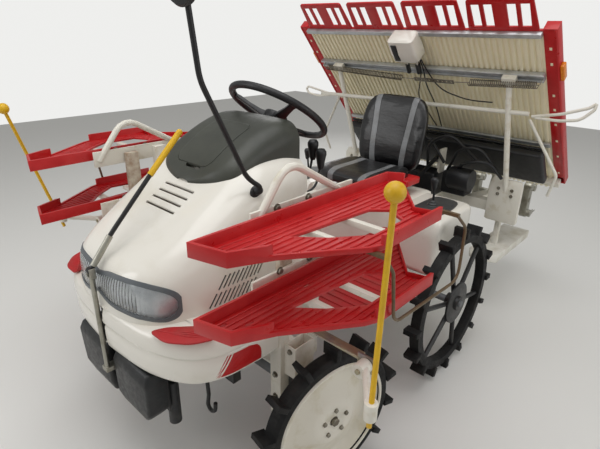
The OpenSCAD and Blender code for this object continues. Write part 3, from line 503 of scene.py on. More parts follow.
def slot_cutter(place, size, turn_x=0.0):
    """A block with round ends: size is length, width and depth in millimetres."""
    bpy.ops.mesh.primitive_cube_add(size=1, location=at(*place))
    block = bpy.context.object
    block.scale = [value / 1000 for value in size]
    pick(block)
    bpy.ops.object.transform_apply(location=False, rotation=False, scale=True)
    open_mesh(block, "DESELECT")
    bpy.ops.mesh.select_mode(type="EDGE")
    close_mesh()
    for edge in block.data.edges:
        a, b = (block.data.vertices[v].co for v in edge.vertices)
        edge.select = abs(a.x - b.x) < 1e-6 and abs(a.y - b.y) < 1e-6
    bpy.ops.object.mode_set(mode="EDIT")
    # just under half of the slot's width, in metres
    bpy.ops.mesh.bevel(offset=min(size[0], size[1]) / 2200, segments=4)
    close_mesh()
    block.rotation_euler = (math.radians(turn_x), 0, 0)
    fix_place(block)
    return block


# The lamp's upper and lower edge by the angle round the nose, in degrees and millimetres
LAMP_EDGES = [(0, 690, 756), (6, 680, 760), (13, 671, 766), (22, 667, 770), (30, 664, 773), (37, 662, 773),
              (44, 658, 770), (50, 653, 764), (55, 651, 757), (59, 655, 748), (62, 663, 737), (64, 677, 722)]
NOSE_CENTRE_Y = -1000
WEDGE_INNER, WEDGE_OUTER = 60, 340
LAMP_ARC = 290


def capped(piece):
    """Closes the open ends of a piece."""
    open_mesh(piece, "DESELECT")
    bpy.ops.mesh.select_mode(type="EDGE")
    bpy.ops.mesh.select_non_manifold()
    bpy.ops.mesh.edge_face_add()
    bpy.ops.mesh.select_all(action="SELECT")
    bpy.ops.mesh.normals_make_consistent(inside=False)
    close_mesh()
    return piece


def solid(name, rings):
    """A closed solid through rings of places, each ring closed round and the two ends capped."""
    return capped(bent_grid(name, [ring + ring[:1] for ring in rings], close_around=True))


def lamp_wedge(name, shrink):
    """A solid fan round the nose: what it meets of the bonnet's surface is the lamp, made smaller by shrink."""
    half = [between(LAMP_EDGES, k / 4) for k in range(4 * (len(LAMP_EDGES) - 1) + 1)]
    stations = [(-angle, low, high) for angle, low, high in reversed(half[1:])] + half
    squeeze = 1 - shrink / LAMP_ARC
    rings = []
    for angle, low, high in stations:
        turn_to = math.radians(angle * squeeze)
        low, high = low + shrink, high - shrink
        if high < low + 1:
            low = high = (low + high) / 2
            low, high = low - 0.5, high + 0.5
        ring = [(WEDGE_OUTER, low), (WEDGE_OUTER, high), (WEDGE_INNER, high), (WEDGE_INNER, low)]
        rings.append([at(r * math.sin(turn_to), NOSE_CENTRE_Y - r * math.cos(turn_to), z) for r, z in ring])
    return solid(name, rings)


INSIDE = at(0, -950, 760)
flip_out(BONNET_SHELL, INSIDE)
thicken(BONNET_SHELL, SHELL_MM)
SLOT_PITCH, LOUVRE_PITCH, LOUVRE_LEAN = 25, 16.5, -34
cutters = [slot_cutter((12, -1024 + SLOT_PITCH * i, 930), (156, 8, 220)) for i in range(4)]
for side in (-1, 1):
    for i in range(10):
        for climb in (0, 60):
            place = (side * (BONNET_HALF - 5), -1030 + LOUVRE_PITCH * i + climb * 0.56, SKIRT_TOP + 32 + climb * 0.83)
            cutters.append(slot_cutter(place, (70, 8, 48), turn_x=LOUVRE_LEAN))
cut(BONNET_SHELL, join("bonnet_cutters", cutters))
cut(BONNET_SHELL, lamp_wedge("lamp_hole", 0))
smooth(BONNET_SHELL, 40)
finish(BONNET_SHELL, "machine", "ivory_panel", "bonnet")
print("bonnet:", len(BONNET_SHELL.data.polygons), "faces")

# %% [markdown]
# The lamp is a grey rim and one clear lens that wraps round the nose. Both are slices of the bonnet's own
# surface, pushed out or in a little, so they always follow it. Behind the lens sits a silver bowl whose colour is
# made near white with grey patches, a painted reflection.

# %% Headlamp


def nose_slice(name, grow, thickness_mm, outer_shrink, inner_shrink=None):
    piece = bent_grid(name, placed(nose_rows(bonnet_rows(grow, last=3.2, count=40, low=SKIRT_TOP - 10))))
    flip_out(piece, INSIDE)
    thicken(piece, thickness_mm)
    cut(piece, lamp_wedge(name + "_outer", outer_shrink), "INTERSECT")
    if inner_shrink:
        cut(piece, lamp_wedge(name + "_inner", inner_shrink))
    smooth(piece, 40)
    return piece


rim = nose_slice("headlamp_ring", 2.5, 10, 0.3, 11)
bevel_edges(rim, 1.5)
smooth(rim, 40)
finish(rim, "machine", "lamp_rim", "headlamp_rim")

# the wave texture counts in radians
FULL_WAVE = 6.283
lens_clear, tree, shader, coordinates = new_finish("clear_lens", Roughness=0.06, IOR=1.49, Transmission_Weight=0.95)
shader.inputs["Base Color"].default_value = colour("#F5F7F8")
flutes = add_node(tree, "ShaderNodeTexWave", {"Vector": coordinates}, {"Scale": cells_per_metre(6) / FULL_WAVE},
                  bands_direction="X", wave_profile="SIN")
add_bump(tree, shader, flutes.outputs["Fac"], 1.2, 0.6)
lens = nose_slice("headlamp_glass", 0.5, 4, 10.7)
finish(lens, "machine", "lamp_lens", "headlamp_lens", material=lens_clear)

# the silver bowl's near-white colour and its grey patches are a painted reflection, not its own colour
bowl_painted_reflection, tree, shader, coordinates = new_finish("bowl_painted_reflection", Metallic=0.35, Roughness=0.3)
shade = noise_mask(tree, coordinates, 45, 0.35, 0.7)
tree.links.new(blend_colours(tree, shade, colour("#F1F2F2"), colour("#C6CBCF")), shader.inputs["Base Color"])
facets = add_node(tree, "ShaderNodeTexWave", {"Vector": coordinates}, {"Scale": cells_per_metre(24) / FULL_WAVE},
                  bands_direction="X", wave_profile="SAW")
add_bump(tree, shader, facets.outputs["Fac"], 3.0, 0.8)
bowl = nose_slice("headlamp_bowl", -16, 3, 6)
finish(bowl, "machine", "lamp_rim", material=bowl_painted_reflection)
print("headlamp:", [len(p.data.polygons) for p in (rim, lens, bowl)])

# %% [markdown]
# The skirt wraps round the nose as a step: a rounded top edge, a wall with one pressed line, and a turned-in
# lower edge. Wall and step are one moulding, so they are one grid, bent to the wall's section at each place round
# the plan outline and carried on inwards under the bonnet's edge.

# %% Front skirt
# half of the plan outline from the rear to the nose, and how far the wall stands inside it at each height
SKIRT_PLAN = [(403, -889), (403, -972), (390, -1091), (339, -1178), (220, -1233), (55, -1252)]
WALL = [(13, 499), (8, 500), (5, 506), (2.5, 522), (1.5, 545), (2.5, 574), (7, 580), (6, 585), (0.5, 589),
        (0, 594), (0, 606), (1.5, 619), (5, 630), (11, 637.5), (19, 641), (28, SKIRT_TOP)]


def skirt_outline(steps=7):
    ring = SKIRT_PLAN + [(-x, y) for x, y in reversed(SKIRT_PLAN)]
    return [between(ring, i + k / steps) for i in range(len(ring) - 1) for k in range(steps)] + [ring[-1]]


def bonnet_half_at(y):
    stations = [(row[0], row[1] * BONNET_HALF) for row in BONNET]
    for (y0, h0), (y1, h1) in zip(stations, stations[1:]):
        if y0 <= y <= y1:
            return h0 + (h1 - h0) * (y - y0) / (y1 - y0)
    return 60 if y < stations[0][0] else stations[-1][1]


# the step's top runs in towards the middle of the bonnet and ends a little way under its edge
STEP_MIDDLE_Y = -950
UNDER_EDGE = 16
SIDE_X = 380


def towards_middle(x, y, share):
    return x * share, STEP_MIDDLE_Y + (y - STEP_MIDDLE_Y) * share


outline = skirt_outline()
columns = []
for i, (x, y) in enumerate(outline):
    x0, y0 = outline[max(0, i - 1)]
    x1, y1 = outline[min(len(outline) - 1, i + 1)]
    length = math.hypot(x1 - x0, y1 - y0)
    inward = ((y0 - y1) / length, (x1 - x0) / length)
    if inward[0] * (0 - x) + inward[1] * (-1000 - y) < 0:
        inward = (-inward[0], -inward[1])
    column = [(x + inward[0] * inset, y + inward[1] * inset, z) for inset, z in WALL]
    share = 0.45
    inner = towards_middle(x, y, share)
    while share < 0.99 and abs(inner[0]) < max(20, bonnet_half_at(inner[1])) - UNDER_EDGE:
        share += 0.01
        inner = towards_middle(x, y, share)
    if abs(x) > SIDE_X:
        inner = (math.copysign(bonnet_half_at(y) - 14, x), y)
    edge = column[-1]
    column += [(edge[0] + (inner[0] - edge[0]) * k / 3, edge[1] + (inner[1] - edge[1]) * k / 3, SKIRT_TOP)
               for k in (1, 2, 3)]
    columns.append(column)
skirt = bent_grid("skirt_panel", placed(columns))
flip_out(skirt, at(0, -1000, 560))
thicken(skirt, SHELL_MM)
# the mast's post comes through a notch in the nose
cut(skirt, slot_cutter((0, -1264, 580), (34, 46, 260)))
smooth(skirt, 40)
finish(skirt, "machine", "ivory_panel", "front_skirt")
print("skirt:", len(skirt.data.polygons), "faces")

# %% [markdown]
# The instrument cowl is one moulding of faded olive plastic: a wide round front lip on the bonnet, a top that
# climbs to the wheel, and rounded cheeks. It uses the bonnet's own section with other numbers. The lid is a slice
# of the same surface with a finger recess in front of it, so that the two always match.

# %% Instrument cowl and lid
# y, half width, height of the middle, corner radius
COWL = [(-928, 30, 963, 6), (-922, 66, 972, 12), (-910, 110, 987, 22), (-892, 152, 1006, 34), (-868, 180, 1027, 44),
        (-835, 190, 1050, 52), (-780, 192, 1082, 60), (-720, 194, 1108, 64), (-650, 197, 1127, 66),
        (-588, 194, 1126, 60)]
COWL_LOW = 935


def cowl_rows(grow=0.0, count=54):
    rows = []
    for k in range(count + 1):
        y, half, top, radius = between(COWL, (len(COWL) - 1) * k / count)
        low = min(COWL_LOW, top - radius - 6)
        rows.append(bonnet_section(y, half, top, radius, low, grow))
    return rows


def upright_block(name, ring, low, high):
    """A solid with one outline in plan, from low to high."""
    return solid(name, [[at(x, y, z) for x, y in ring] for z in (low, high)])


def lid_block(name, gap):
    """An upright block with round corners over the lid's place."""
    half, y_front, y_back, radius = 92 - gap, -893 + gap, -700 - gap, 34 - gap
    corners = [(half - radius, y_back - radius, 0), (-half + radius, y_back - radius, 90),
               (-half + radius, y_front + radius, 180), (half - radius, y_front + radius, 270)]
    ring = [(x + radius * math.cos(math.radians(start + 15 * k)), y + radius * math.sin(math.radians(start + 15 * k)))
            for x, y, start in corners for k in range(7)]
    return upright_block(name, ring, 960, 1200)


def cowl_shell(name, grow, thickness_mm):
    piece = bent_grid(name, placed(cowl_rows(grow)))
    flip_out(piece, at(0, -750, 950))
    thicken(piece, thickness_mm)
    return piece


cowl = cowl_shell("cowl_moulding", 0.0, 5)
cut(cowl, lid_block("lid_hole", 0))
cut(cowl, slot_cutter((18, -893, 1012), (74, 17, 44)))
smooth(cowl, 40)
finish(cowl, "machine", "cowl_plastic", "cowl")
lid = cowl_shell("cowl_lid_moulding", 1.2, 6)
cut(lid, lid_block("lid_edge", 1.4), "INTERSECT")
bevel_edges(lid, 1.2)
smooth(lid, 40)
finish(lid, "cowl_lid", "cowl_plastic", "cowl_lid")
print("cowl and lid:", len(cowl.data.polygons), len(lid.data.polygons))

# %% [markdown]
# Bars and pipes are curves with a round section. The route's corners are rounded first, as a bender would leave
# them, and the curve is made a mesh so that it can be joined and carried.

# %% Rods and pipes


def rounded_route(route, bend, steps=6):
    if bend <= 0:
        return [Vector(p) for p in route]
    places = [Vector(route[0])]
    for a, b, c in zip(route, route[1:], route[2:]):
        a, b, c = Vector(a), Vector(b), Vector(c)
        reach = min(bend, 0.45 * (a - b).length, 0.45 * (c - b).length)
        start, end = b + (a - b).normalized() * reach, b + (c - b).normalized() * reach
        for k in range(steps + 1):
            u = k / steps
            places.append((1 - u) ** 2 * start + 2 * u * (1 - u) * b + u ** 2 * end)
    return places + [Vector(route[-1])]


def rod(name, route, diameter, bend=0.0, sides=4):
    """A round bar through places in millimetres."""
    curve = bpy.data.curves.new(name, "CURVE")
    curve.dimensions = "3D"
    curve.bevel_depth = diameter / 2000
    curve.bevel_resolution = sides
    curve.use_fill_caps = True
    places = rounded_route(route, bend)
    line = curve.splines.new("POLY")
    line.points.add(len(places) - 1)
    for point, place in zip(line.points, places):
        point.co = at(*place).to_4d()
    piece = bpy.data.objects.new(name, curve)
    bpy.context.scene.collection.objects.link(piece)
    pick(piece)
    bpy.ops.object.convert(target="MESH")
    smooth(bpy.context.object, 50)
    return bpy.context.object


def bevelled_box(name, low, high, width_mm=2.0, segments=3, place=at):
    """A box between two corners; place turns its millimetres into metres in the frame."""
    bpy.ops.mesh.primitive_cube_add(size=1)
    piece = bpy.context.object
    piece.name = piece.data.name = name
    low, high = Vector(low), Vector(high)
    middle, size = (low + high) / 2, high - low
    for vertex in piece.data.vertices:
        vertex.co = place(*(middle + Vector([c * s for c, s in zip(vertex.co, size)])))
    apply_modifier(piece, "BEVEL", width=width_mm / 1000, segments=segments)
    smooth(piece, 35)
    return piece


def ball(name, place, diameter, stretch=(1, 1, 1)):
    bpy.ops.mesh.primitive_uv_sphere_add(segments=24, ring_count=14, radius=diameter / 2000, location=at(*place))
    piece = bpy.context.object
    piece.name = name
    piece.scale = stretch
    fix_place(piece)
    smooth(piece, 60)
    return piece


def revolved(name, profile, place, axis="X", steps=64):
    """Turns (radius, along) pairs about an axis through place."""
    rows = []
    for k in range(steps + 1):
        turn_to = 2 * math.pi * k / steps
        ring = []
        for radius, along_mm in profile:
            a, b = radius * math.cos(turn_to), radius * math.sin(turn_to)
            x, y, z = place
            ring.append(at(x + along_mm, y + a, z + b) if axis == "X" else
                        at(x + a, y + along_mm, z + b) if axis == "Y" else at(x + a, y + b, z + along_mm))
        rows.append(ring)
    return bent_grid(name, rows, close_around=True)


# %% [markdown]
# The sight mast is a zinc tube that carries a black rod with a yellow grip, folded back over the bonnet. It could
# be a chain of cylinders, but a rod bent along one route keeps its corners round, as a real one does. The eye at
# its foot is a turned ring on the pivot pin.

# %% Sight mast
MAST_PIVOT = (0, -1258, 761)
mast_rod = join("mast_rod", [
    rod("mast_rod_low", [MAST_PIVOT, (0, -1183, 853), (0, -1036, 1003)], 14, bend=20),
    revolved("mast_eye", [(4.05, -8), (11, -8), (11, 8), (4.05, 8), (4.05, -8)], MAST_PIVOT, steps=32)])
finish(mast_rod, "sight_mast", "black_steel", "sight_mast")
mast_sleeve = rod("mast_sleeve", [(0, -1248, 773), (0, -1186, 849)], 19)
finish(mast_sleeve, "sight_mast", "zinc")
mast_grip = join("mast_grip", [rod("grip_tube", [(0, -1038, 1001), (0, -924, 1114)], 19),
                               ball("grip_end", (0, -924, 1114), 19)])
finish(mast_grip, "sight_mast", "marker_yellow")
print("mast:", [len(p.data.polygons) for p in (mast_rod, mast_sleeve, mast_grip)], "faces")

# %% [markdown]
# The mirror is a round black cup on a bent black stay that comes out of a rubber grommet in the bonnet. The stay
# is bent from a single bar, so it is one route. Cup and grommet are round, so each is a half profile that is
# turned about its axis, which also gives the rolled edges.

# %% Mirror and its stay
GROMMET = (246, -835, 958)
stay = rod("mirror_stay_tube", [GROMMET, (270, -835, 978), (258, -880, 1015), (249, -1013, 1292), (249, -1037, 1504)],
           15, bend=26)
CUP = [(0, -12), (52, -12), (64, -8), (69, 0), (68, 6), (65, 8), (0, 8)]
cup = revolved("mirror_cup", CUP, (249, -1046, 1522), "Y", 48)
knob = ball("stay_end", (256, -835, 966), 30, (1, 1, 0.9))
grommet = revolved("grommet", [(0, -6), (21, -6), (23, -2), (20, 4), (13, 7), (0, 7)], (248, -835, 958), "X", 36)
mirror = join("mirror_and_stay", [stay, cup, knob, grommet])
finish(mirror, "machine", "black_plastic", "mirror_stay")
print("mirror:", len(mirror.data.polygons), "faces")

# %% [markdown]
# The steering wheel has a thick soft rim, three flat spokes and a padded hub. The rim is a torus, and each spoke is
# a solid through five sections, because a real one is wide and low at the hub and rises to the rim. The wheel is
# made flat at the origin, where the angles are simple, and then tipped to the rake of the column.

# %% Steering wheel
WHEEL_PLACE, WHEEL_DIAMETER, RAKE = (0, -499, 1131), 392, 35
RIM_RADIUS = 13
# distance from the middle, half width, lower and upper face of a spoke
SPOKE = [(20, 27, -46, -18), (60, 21, -36, -17), (110, 15, -22, -8), (150, 13, -12, 3), (180, 16, -6, 6)]
bpy.ops.mesh.primitive_torus_add(major_radius=(WHEEL_DIAMETER / 2 - RIM_RADIUS) / 1000, minor_radius=RIM_RADIUS / 1000,
                                 major_segments=96, minor_segments=18)
wheel_parts = [bpy.context.object]
for start in (90, 210, 330):
    rings = []
    for out, half, low, high in SPOKE:
        ring = [(out, -half, low), (out, half, low), (out, half * 0.8, high), (out, -half * 0.8, high)]
        rings.append([Vector(place) / 1000 for place in ring])
    spoke = solid("spoke", rings)
    bevel_edges(spoke, 3, 3, 40)
    spoke.rotation_euler = (0, 0, math.radians(start))
    fix_place(spoke)
    wheel_parts.append(spoke)
bpy.ops.mesh.primitive_cylinder_add(vertices=48, radius=0.044, depth=0.034, location=(0, 0, -0.028))
hub = bpy.context.object
bevel_edges(hub, 7, 4, 40)
wheel_parts.append(hub)
wheel = join("steering_wheel_moulding", wheel_parts)
wheel.rotation_euler = (math.radians(-RAKE), 0, 0)
wheel.location = at(*WHEEL_PLACE)
fix_place(wheel)
smooth(wheel, 40)
finish(wheel, "steering_wheel", "black_plastic", "steering_wheel")
print("steering wheel:", len(wheel.data.polygons), "faces")

# %% [markdown]
# The seat is foam under black vinyl with two grey bands that run from the front of the cushion to the top of the
# back. An image could hold them, but the distance from the middle, worked out in nodes, stays sharp from close
# by. It also places the sewn seam in each band, and soft creases and a fine leather grain lie over both.

# %% Seat vinyl
SEAT_HALF = 197
# in metres: heights between which the bands spread, their distance from the middle there, and half a band
SPREAD_LOW, SPREAD_HIGH = 0.80, 1.12
BAND_AT_LOW, BAND_AT_HIGH = 0.086, 0.104
BAND_HALF, BAND_EDGE, SEAM_HALF = 0.0155, 0.0005, 0.0025
vinyl, tree, shader, coordinates = new_finish("seat_vinyl", Roughness=0.33, Coat_Weight=0.25, Coat_Roughness=0.2)
place = add_node(tree, "ShaderNodeSeparateXYZ", {"Vector": coordinates})
height = add_node(tree, "ShaderNodeMapRange", {"Value": place.outputs["Z"]},
                  {"From Min": SPREAD_LOW, "From Max": SPREAD_HIGH, "To Min": BAND_AT_LOW, "To Max": BAND_AT_HIGH})
sideways = add_node(tree, "ShaderNodeMath", {0: place.outputs["X"]}, operation="ABSOLUTE")
from_band = add_node(tree, "ShaderNodeMath", {0: sideways.outputs[0], 1: height.outputs[0]}, operation="SUBTRACT")
band_distance = add_node(tree, "ShaderNodeMath", {0: from_band.outputs[0]}, operation="ABSOLUTE")
band = add_node(tree, "ShaderNodeMapRange", {"Value": band_distance.outputs[0]},
                {"From Min": BAND_HALF, "From Max": BAND_HALF - BAND_EDGE})
wear = noise_mask(tree, coordinates, 70, 0.5, 0.8)
black_part = blend_colours(tree, wear, colour("#0B0B0D"), colour("#151415"))
grey_part = blend_colours(tree, wear, colour("#7C7E80"), colour("#6B6B69"))
tree.links.new(blend_colours(tree, band.outputs[0], black_part, grey_part), shader.inputs["Base Color"])
seam_near = add_node(tree, "ShaderNodeMapRange", {"Value": band_distance.outputs[0]},
                     {"From Min": BAND_HALF - SEAM_HALF, "From Max": BAND_HALF})
seam_far = add_node(tree, "ShaderNodeMapRange", {"Value": band_distance.outputs[0]},
                    {"From Min": BAND_HALF + SEAM_HALF, "From Max": BAND_HALF})
seam = add_node(tree, "ShaderNodeMath", {0: seam_near.outputs[0], 1: seam_far.outputs[0]}, operation="MULTIPLY")
add_bump(tree, shader, seam.outputs[0], -1.5)
creases = noise_mask(tree, coordinates, 60, 0.35, 0.65, stretch=(0.5, 1.0, 1.6))
add_bump(tree, shader, creases, 2.2, 0.6)
leather = add_node(tree, "ShaderNodeTexVoronoi", {"Vector": coordinates}, {"Scale": cells_per_metre(1.6)})
add_bump(tree, shader, leather.outputs["Distance"], 0.12)
FINISHES["seat_vinyl"] = vinyl

# %% [markdown]
# Each pad starts as a rounded block that is bent to the seat's shape. Sculpting would make it soft too, but not the
# same on every run. So it is swollen a little as cloth, with its travel capped, which looks stuffed and keeps the
# pad's place on the frame.

# %% Seat pads
NET_CUTS, VOXEL_MM, AIR_PRESSURE, CLOTH_STEPS, SWELL_MM = 26, 8, 4.0, 20, 5


def rounded_pad(name, power, shape):
    """A cube cut into a fine net, pulled to a rounded block and then placed by the shape function."""
    bpy.ops.mesh.primitive_cube_add(size=2)
    pad = bpy.context.object
    pad.name = pad.data.name = name
    open_mesh(pad)
    bpy.ops.mesh.subdivide(number_cuts=NET_CUTS)
    close_mesh()
    for vertex in pad.data.vertices:
        u, v, w = vertex.co
        norm = (abs(u) ** power + abs(v) ** power + abs(w) ** power) ** (1 / power)
        vertex.co = at(*shape(u / norm, v / norm, w / norm))
    return pad


def cushion_shape(u, v, w):
    dip = 9 * (1 - u * u) * (1 - v * v)
    nose_drop = 16 * max(0.0, -v - 0.35) ** 1.5
    wing = 10 * abs(u) ** 3
    upper = wing - dip - nose_drop if w > 0 else 0
    return (u * (SEAT_HALF - 8 - 9 * max(0.0, v)), 76 + 158 * v, 779 + 33 * w + upper)


def back_shape(u, v, w):
    z = 945 + 180 * w
    narrow = 24 * max(0.0, w) ** 2 + 6 * max(0.0, -w)
    lean = 285 + (z - 760) * 0.15
    wrap = -22 * abs(u) ** 2.5 * (1 - 0.5 * max(0.0, w))
    half_thick = 27 - 6 * max(0.0, w)
    lumbar = -8 * (1 - u * u) * math.exp(-((w + 0.35) / 0.35) ** 2)
    return (u * (SEAT_HALF - 10 - narrow), lean + half_thick * v + wrap + (lumbar if v < 0 else 0), z)


def swell(pad):
    """Cloth with a little pressure inside, its travel capped, so that the pad looks stuffed."""
    pad.data.remesh_voxel_size = VOXEL_MM / 1000
    pick(pad)
    bpy.ops.object.voxel_remesh()
    before = [vertex.co.copy() for vertex in pad.data.vertices]
    cloth = pad.modifiers.new("cloth", "CLOTH")
    cloth.settings.use_pressure = True
    cloth.settings.uniform_pressure_force = AIR_PRESSURE
    cloth.settings.effector_weights.gravity = 0
    cloth.settings.quality = 5
    for frame_number in range(1, CLOTH_STEPS + 1):
        bpy.context.scene.frame_set(frame_number)
    pick(pad)
    bpy.ops.object.modifier_apply(modifier=cloth.name)
    bpy.context.scene.frame_set(1)
    for vertex, start in zip(pad.data.vertices, before):
        move = vertex.co - start
        if move.length > SWELL_MM / 1000:
            vertex.co = start + move.normalized() * SWELL_MM / 1000
    apply_modifier(pad, "SMOOTH", factor=0.5, iterations=3)
    apply_modifier(pad, "SUBSURF", levels=1, render_levels=1)
    smooth(pad, 60)


cushion = rounded_pad("seat_cushion", 5.5, cushion_shape)
swell(cushion)
finish(cushion, "machine", "seat_vinyl", "seat")
back = rounded_pad("seat_back", 5.0, back_shape)
swell(back)
finish(back, "machine", "seat_vinyl")
bracket = bevelled_box("seat_bracket", (128, 120, 743), (214, 232, 775), 6, 4)
finish(bracket, "machine", "red_tray")
print("seat pads:", len(cushion.data.polygons), len(back.data.polygons))

# %% [markdown]
# The rear body is a pedestal under the seat with a fender on each side. The fenders are pillows of plastic: their
# side view is drawn once, and its outer copies shrink so that the edge rolls over. A bevel on a plain block would
# round them as well, but with one radius all along, which looks machined.

# %% Rear body
PEDESTAL_LOW, DECK = 275, 697


def rounded_polygon(corners, steps=6):
    """Corners are (a, b, radius); each is replaced by a short curve."""
    places = []
    count = len(corners)
    for i, (a, b, radius) in enumerate(corners):
        before = Vector(corners[i - 1][:2])
        after = Vector(corners[(i + 1) % count][:2])
        corner = Vector((a, b))
        reach = min(radius, 0.48 * (before - corner).length, 0.48 * (after - corner).length)
        start = corner + (before - corner).normalized() * reach
        end = corner + (after - corner).normalized() * reach
        for k in range(steps + 1):
            u = k / steps
            places.append(tuple((1 - u) ** 2 * start + 2 * u * (1 - u) * corner + u ** 2 * end))
    return places


def shrunk(ring, inset):
    """Moves each place of a ring inwards by about inset."""
    middle = (sum(p[0] for p in ring) / len(ring), sum(p[1] for p in ring) / len(ring))
    moved = []
    for a, b in ring:
        da, db = a - middle[0], b - middle[1]
        length = math.hypot(da, db)
        moved.append((a - da / length * inset, b - db / length * inset))
    return moved


# y, z and corner radius of the side view
FENDER_SIDE = [(-58, 452, 26), (-36, 431, 20), (150, 474, 120), (272, 560, 90), (281, 640, 60), (270, DECK, 44),
               (-40, DECK, 40), (-58, 640, 60)]
# distance from the middle of the machine, and how far the side view has shrunk there
FENDER_ROLL = [(250, 0), (300, 0), (380, 0), (430, 0), (448, 2), (460, 7), (468, 16), (472, 28), (474, 44), (475, 80)]
# height, half width, front, rear, and how far the outline has shrunk there
PEDESTAL = [(424, PEDESTAL_LOW, -55, 229, 0), (560, 266, -36, 266, 0), (680, 258, -20, 301, 0),
            (692, 257, -18, 303, 4), (697, 257, -18, 303, 16), (698, 257, -18, 303, 60)]
side_ring = rounded_polygon(FENDER_SIDE)
fenders = []
for side in (-1, 1):
    rings = [[at(side * x, y, z) for y, z in shrunk(side_ring, inset)] for x, inset in FENDER_ROLL]
    fenders.append(solid("fender", rings))
rings = []
for z, half, front, rear, inset in PEDESTAL:
    ring = rounded_polygon([(-half, front, 30), (half, front, 30), (half, rear, 30), (-half, rear, 30)])
    rings.append([at(x, y, z) for x, y in shrunk(ring, inset)])
pedestal = solid("pedestal", rings)
# the lift links come out through a gap in the back
cut(pedestal, bevelled_box("link_gap", (-147, 112, 380), (147, 367, 689), 3, 2))
rear_body = join("rear_body_moulding", fenders + [pedestal])
smooth(rear_body, 40)
finish(rear_body, "machine", "ivory_panel", "rear_body")
print("rear body:", len(rear_body.data.polygons), "faces")

# %% [markdown]
# A dark inset plate lies on each fender, stepped along its edge, and a rubber gaiter closes the hole of the lever.
# A plate is one outline in plan, whose last copies shrink so that its upper edge rolls over.

# %% Console plates
LEVER_X = 367


def plate_with_corners(name, ring, low, high, edge_mm):
    rings = []
    for z, inset in ((low, 0), (high - edge_mm, 0), (high - edge_mm * 0.3, edge_mm * 0.4), (high, edge_mm * 1.6)):
        rings.append([at(x, y, z) for x, y in shrunk(ring, inset)])
    return solid(name, rings)


GAITER = [(4, 700), (27, 702), (26, 708), (20, 712), (22, 716), (14, 722), (15, 726), (8, 732), (4, 732)]
CONSOLE_RING = rounded_polygon([(300, -44, 34), (436, -44, 44), (446, 120, 90), (424, 232, 46), (304, 232, 40)])
plates = []
for side in (-1, 1):
    ring = [(side * x, y) for x, y in CONSOLE_RING]
    plates.append(plate_with_corners("console_plate", ring, 690, 702, 3))
    plates.append(plate_with_corners("console_step", [(x, y - 2) for x, y in shrunk(ring, 17)], 700, 706, 3))
    plates.append(revolved("gaiter", GAITER, (side * LEVER_X, 84, 0), "Z", 32))
consoles = join("console_plates", plates)
smooth(consoles, 40)
finish(consoles, "machine", "console_plastic", "consoles")
print("consoles:", len(consoles.data.polygons), "faces")

# %% [markdown]
# The levers are thin black stems with tapered plastic knobs. A knob is turned from one profile, and the two on the
# dash use the same profile, made larger.

# %% Levers
lever_parts = []
KNOB = [(0, -4), (7, -3), (10, 4), (13, 22), (16.5, 38), (16, 46), (11, 53), (0, 55)]
for side in (-1, 1):
    lever_parts.append(rod("lever_stem", [(side * LEVER_X, 88, 704), (side * LEVER_X, 78, 790)], 10))
    lever_parts.append(revolved("lever_knob", KNOB, (side * LEVER_X, 75, 782), "Z", 28))
DASH_KNOB = [(radius * 1.25, height * 1.35) for radius, height in KNOB]
for x, z in ((152, 934), (112, 962)):
    lever_parts.append(rod("dash_stem", [(x, -574, z - 90), (x, -450, z - 70), (x, -430, z + 6)], 9, bend=40))
    lever_parts.append(revolved("dash_knob", DASH_KNOB, (x, -428, z), "Z", 28))
    lever_parts.append(bevelled_box("dash_bracket", (x - 16, -583, z - 108), (x + 16, -572, z - 72), 2))
levers = join("lever_set", lever_parts)
smooth(levers, 50)
finish(levers, "machine", "black_plastic", "levers")
print("levers:", len(levers.data.polygons), "faces")

# %% [markdown]
# Under the stage the sheet has broad vertical folds that stiffen it. A row of trapezoids is drawn across it and
# carried down the slope, since an array of single folds would leave seams between them. The upper face stays
# flat for the seedling mats, with a low wall between the rows and two thin runners in each.

# %% Seedling stage sheet
SLOPE, STAGE_Y, STAGE_Z = math.radians(48), 339, 1417
STAGE_HALF, STAGE_LENGTH, ROW_PITCH = 606, 1055, 300


def stage(x, s, n):
    """s runs down the slope from the top edge, n stands off the upper face."""
    return (x, STAGE_Y + s * math.cos(SLOPE) + n * math.sin(SLOPE), STAGE_Z - s * math.sin(SLOPE) + n * math.cos(SLOPE))


def on_stage(x, s, n):
    return at(*stage(x, s, n))


def stage_box(name, low, high, width_mm=1.5, segments=2):
    return bevelled_box(name, low, high, width_mm, segments, on_stage)


FOLD_PITCH = 25
profile = [(-STAGE_HALF, -9)]
x = -STAGE_HALF + 6
while x < STAGE_HALF - FOLD_PITCH:
    profile += [(x, -9), (x + 4, -16), (x + 16, -16), (x + 20, -9)]
    x += FOLD_PITCH
profile += [(STAGE_HALF, -9), (STAGE_HALF, 0), (-STAGE_HALF, 0)]
sheet_parts = [solid("stage_folds", [[on_stage(x, s, n) for x, n in profile] for s in (0, 350, 700, STAGE_LENGTH)])]
for k in range(-2, 3):
    sheet_parts.append(stage_box("row_wall", (k * ROW_PITCH - 4, 0, -1), (k * ROW_PITCH + 4, STAGE_LENGTH, 26), 2.5, 3))
for k in (-1, 0, 1, 2):
    for offset in (-205, -95):
        sheet_parts.append(stage_box("mat_runner", (k * ROW_PITCH + offset - 3, 20, -1),
                                     (k * ROW_PITCH + offset + 3, STAGE_LENGTH - 30, 5), 1.5))
sheet_piece = join("stage_sheet", sheet_parts)
smooth(sheet_piece, 30)
finish(sheet_piece, "seedling_stage", "stage_plastic", "seedling_stage")
print("stage sheet:", len(sheet_piece.data.polygons), "faces")

# %% [markdown]
# A flat red cover with a raised ridge lies along each side of the stage, held by small cream clips. They stop
# short of the low end, where the planting frame passes.

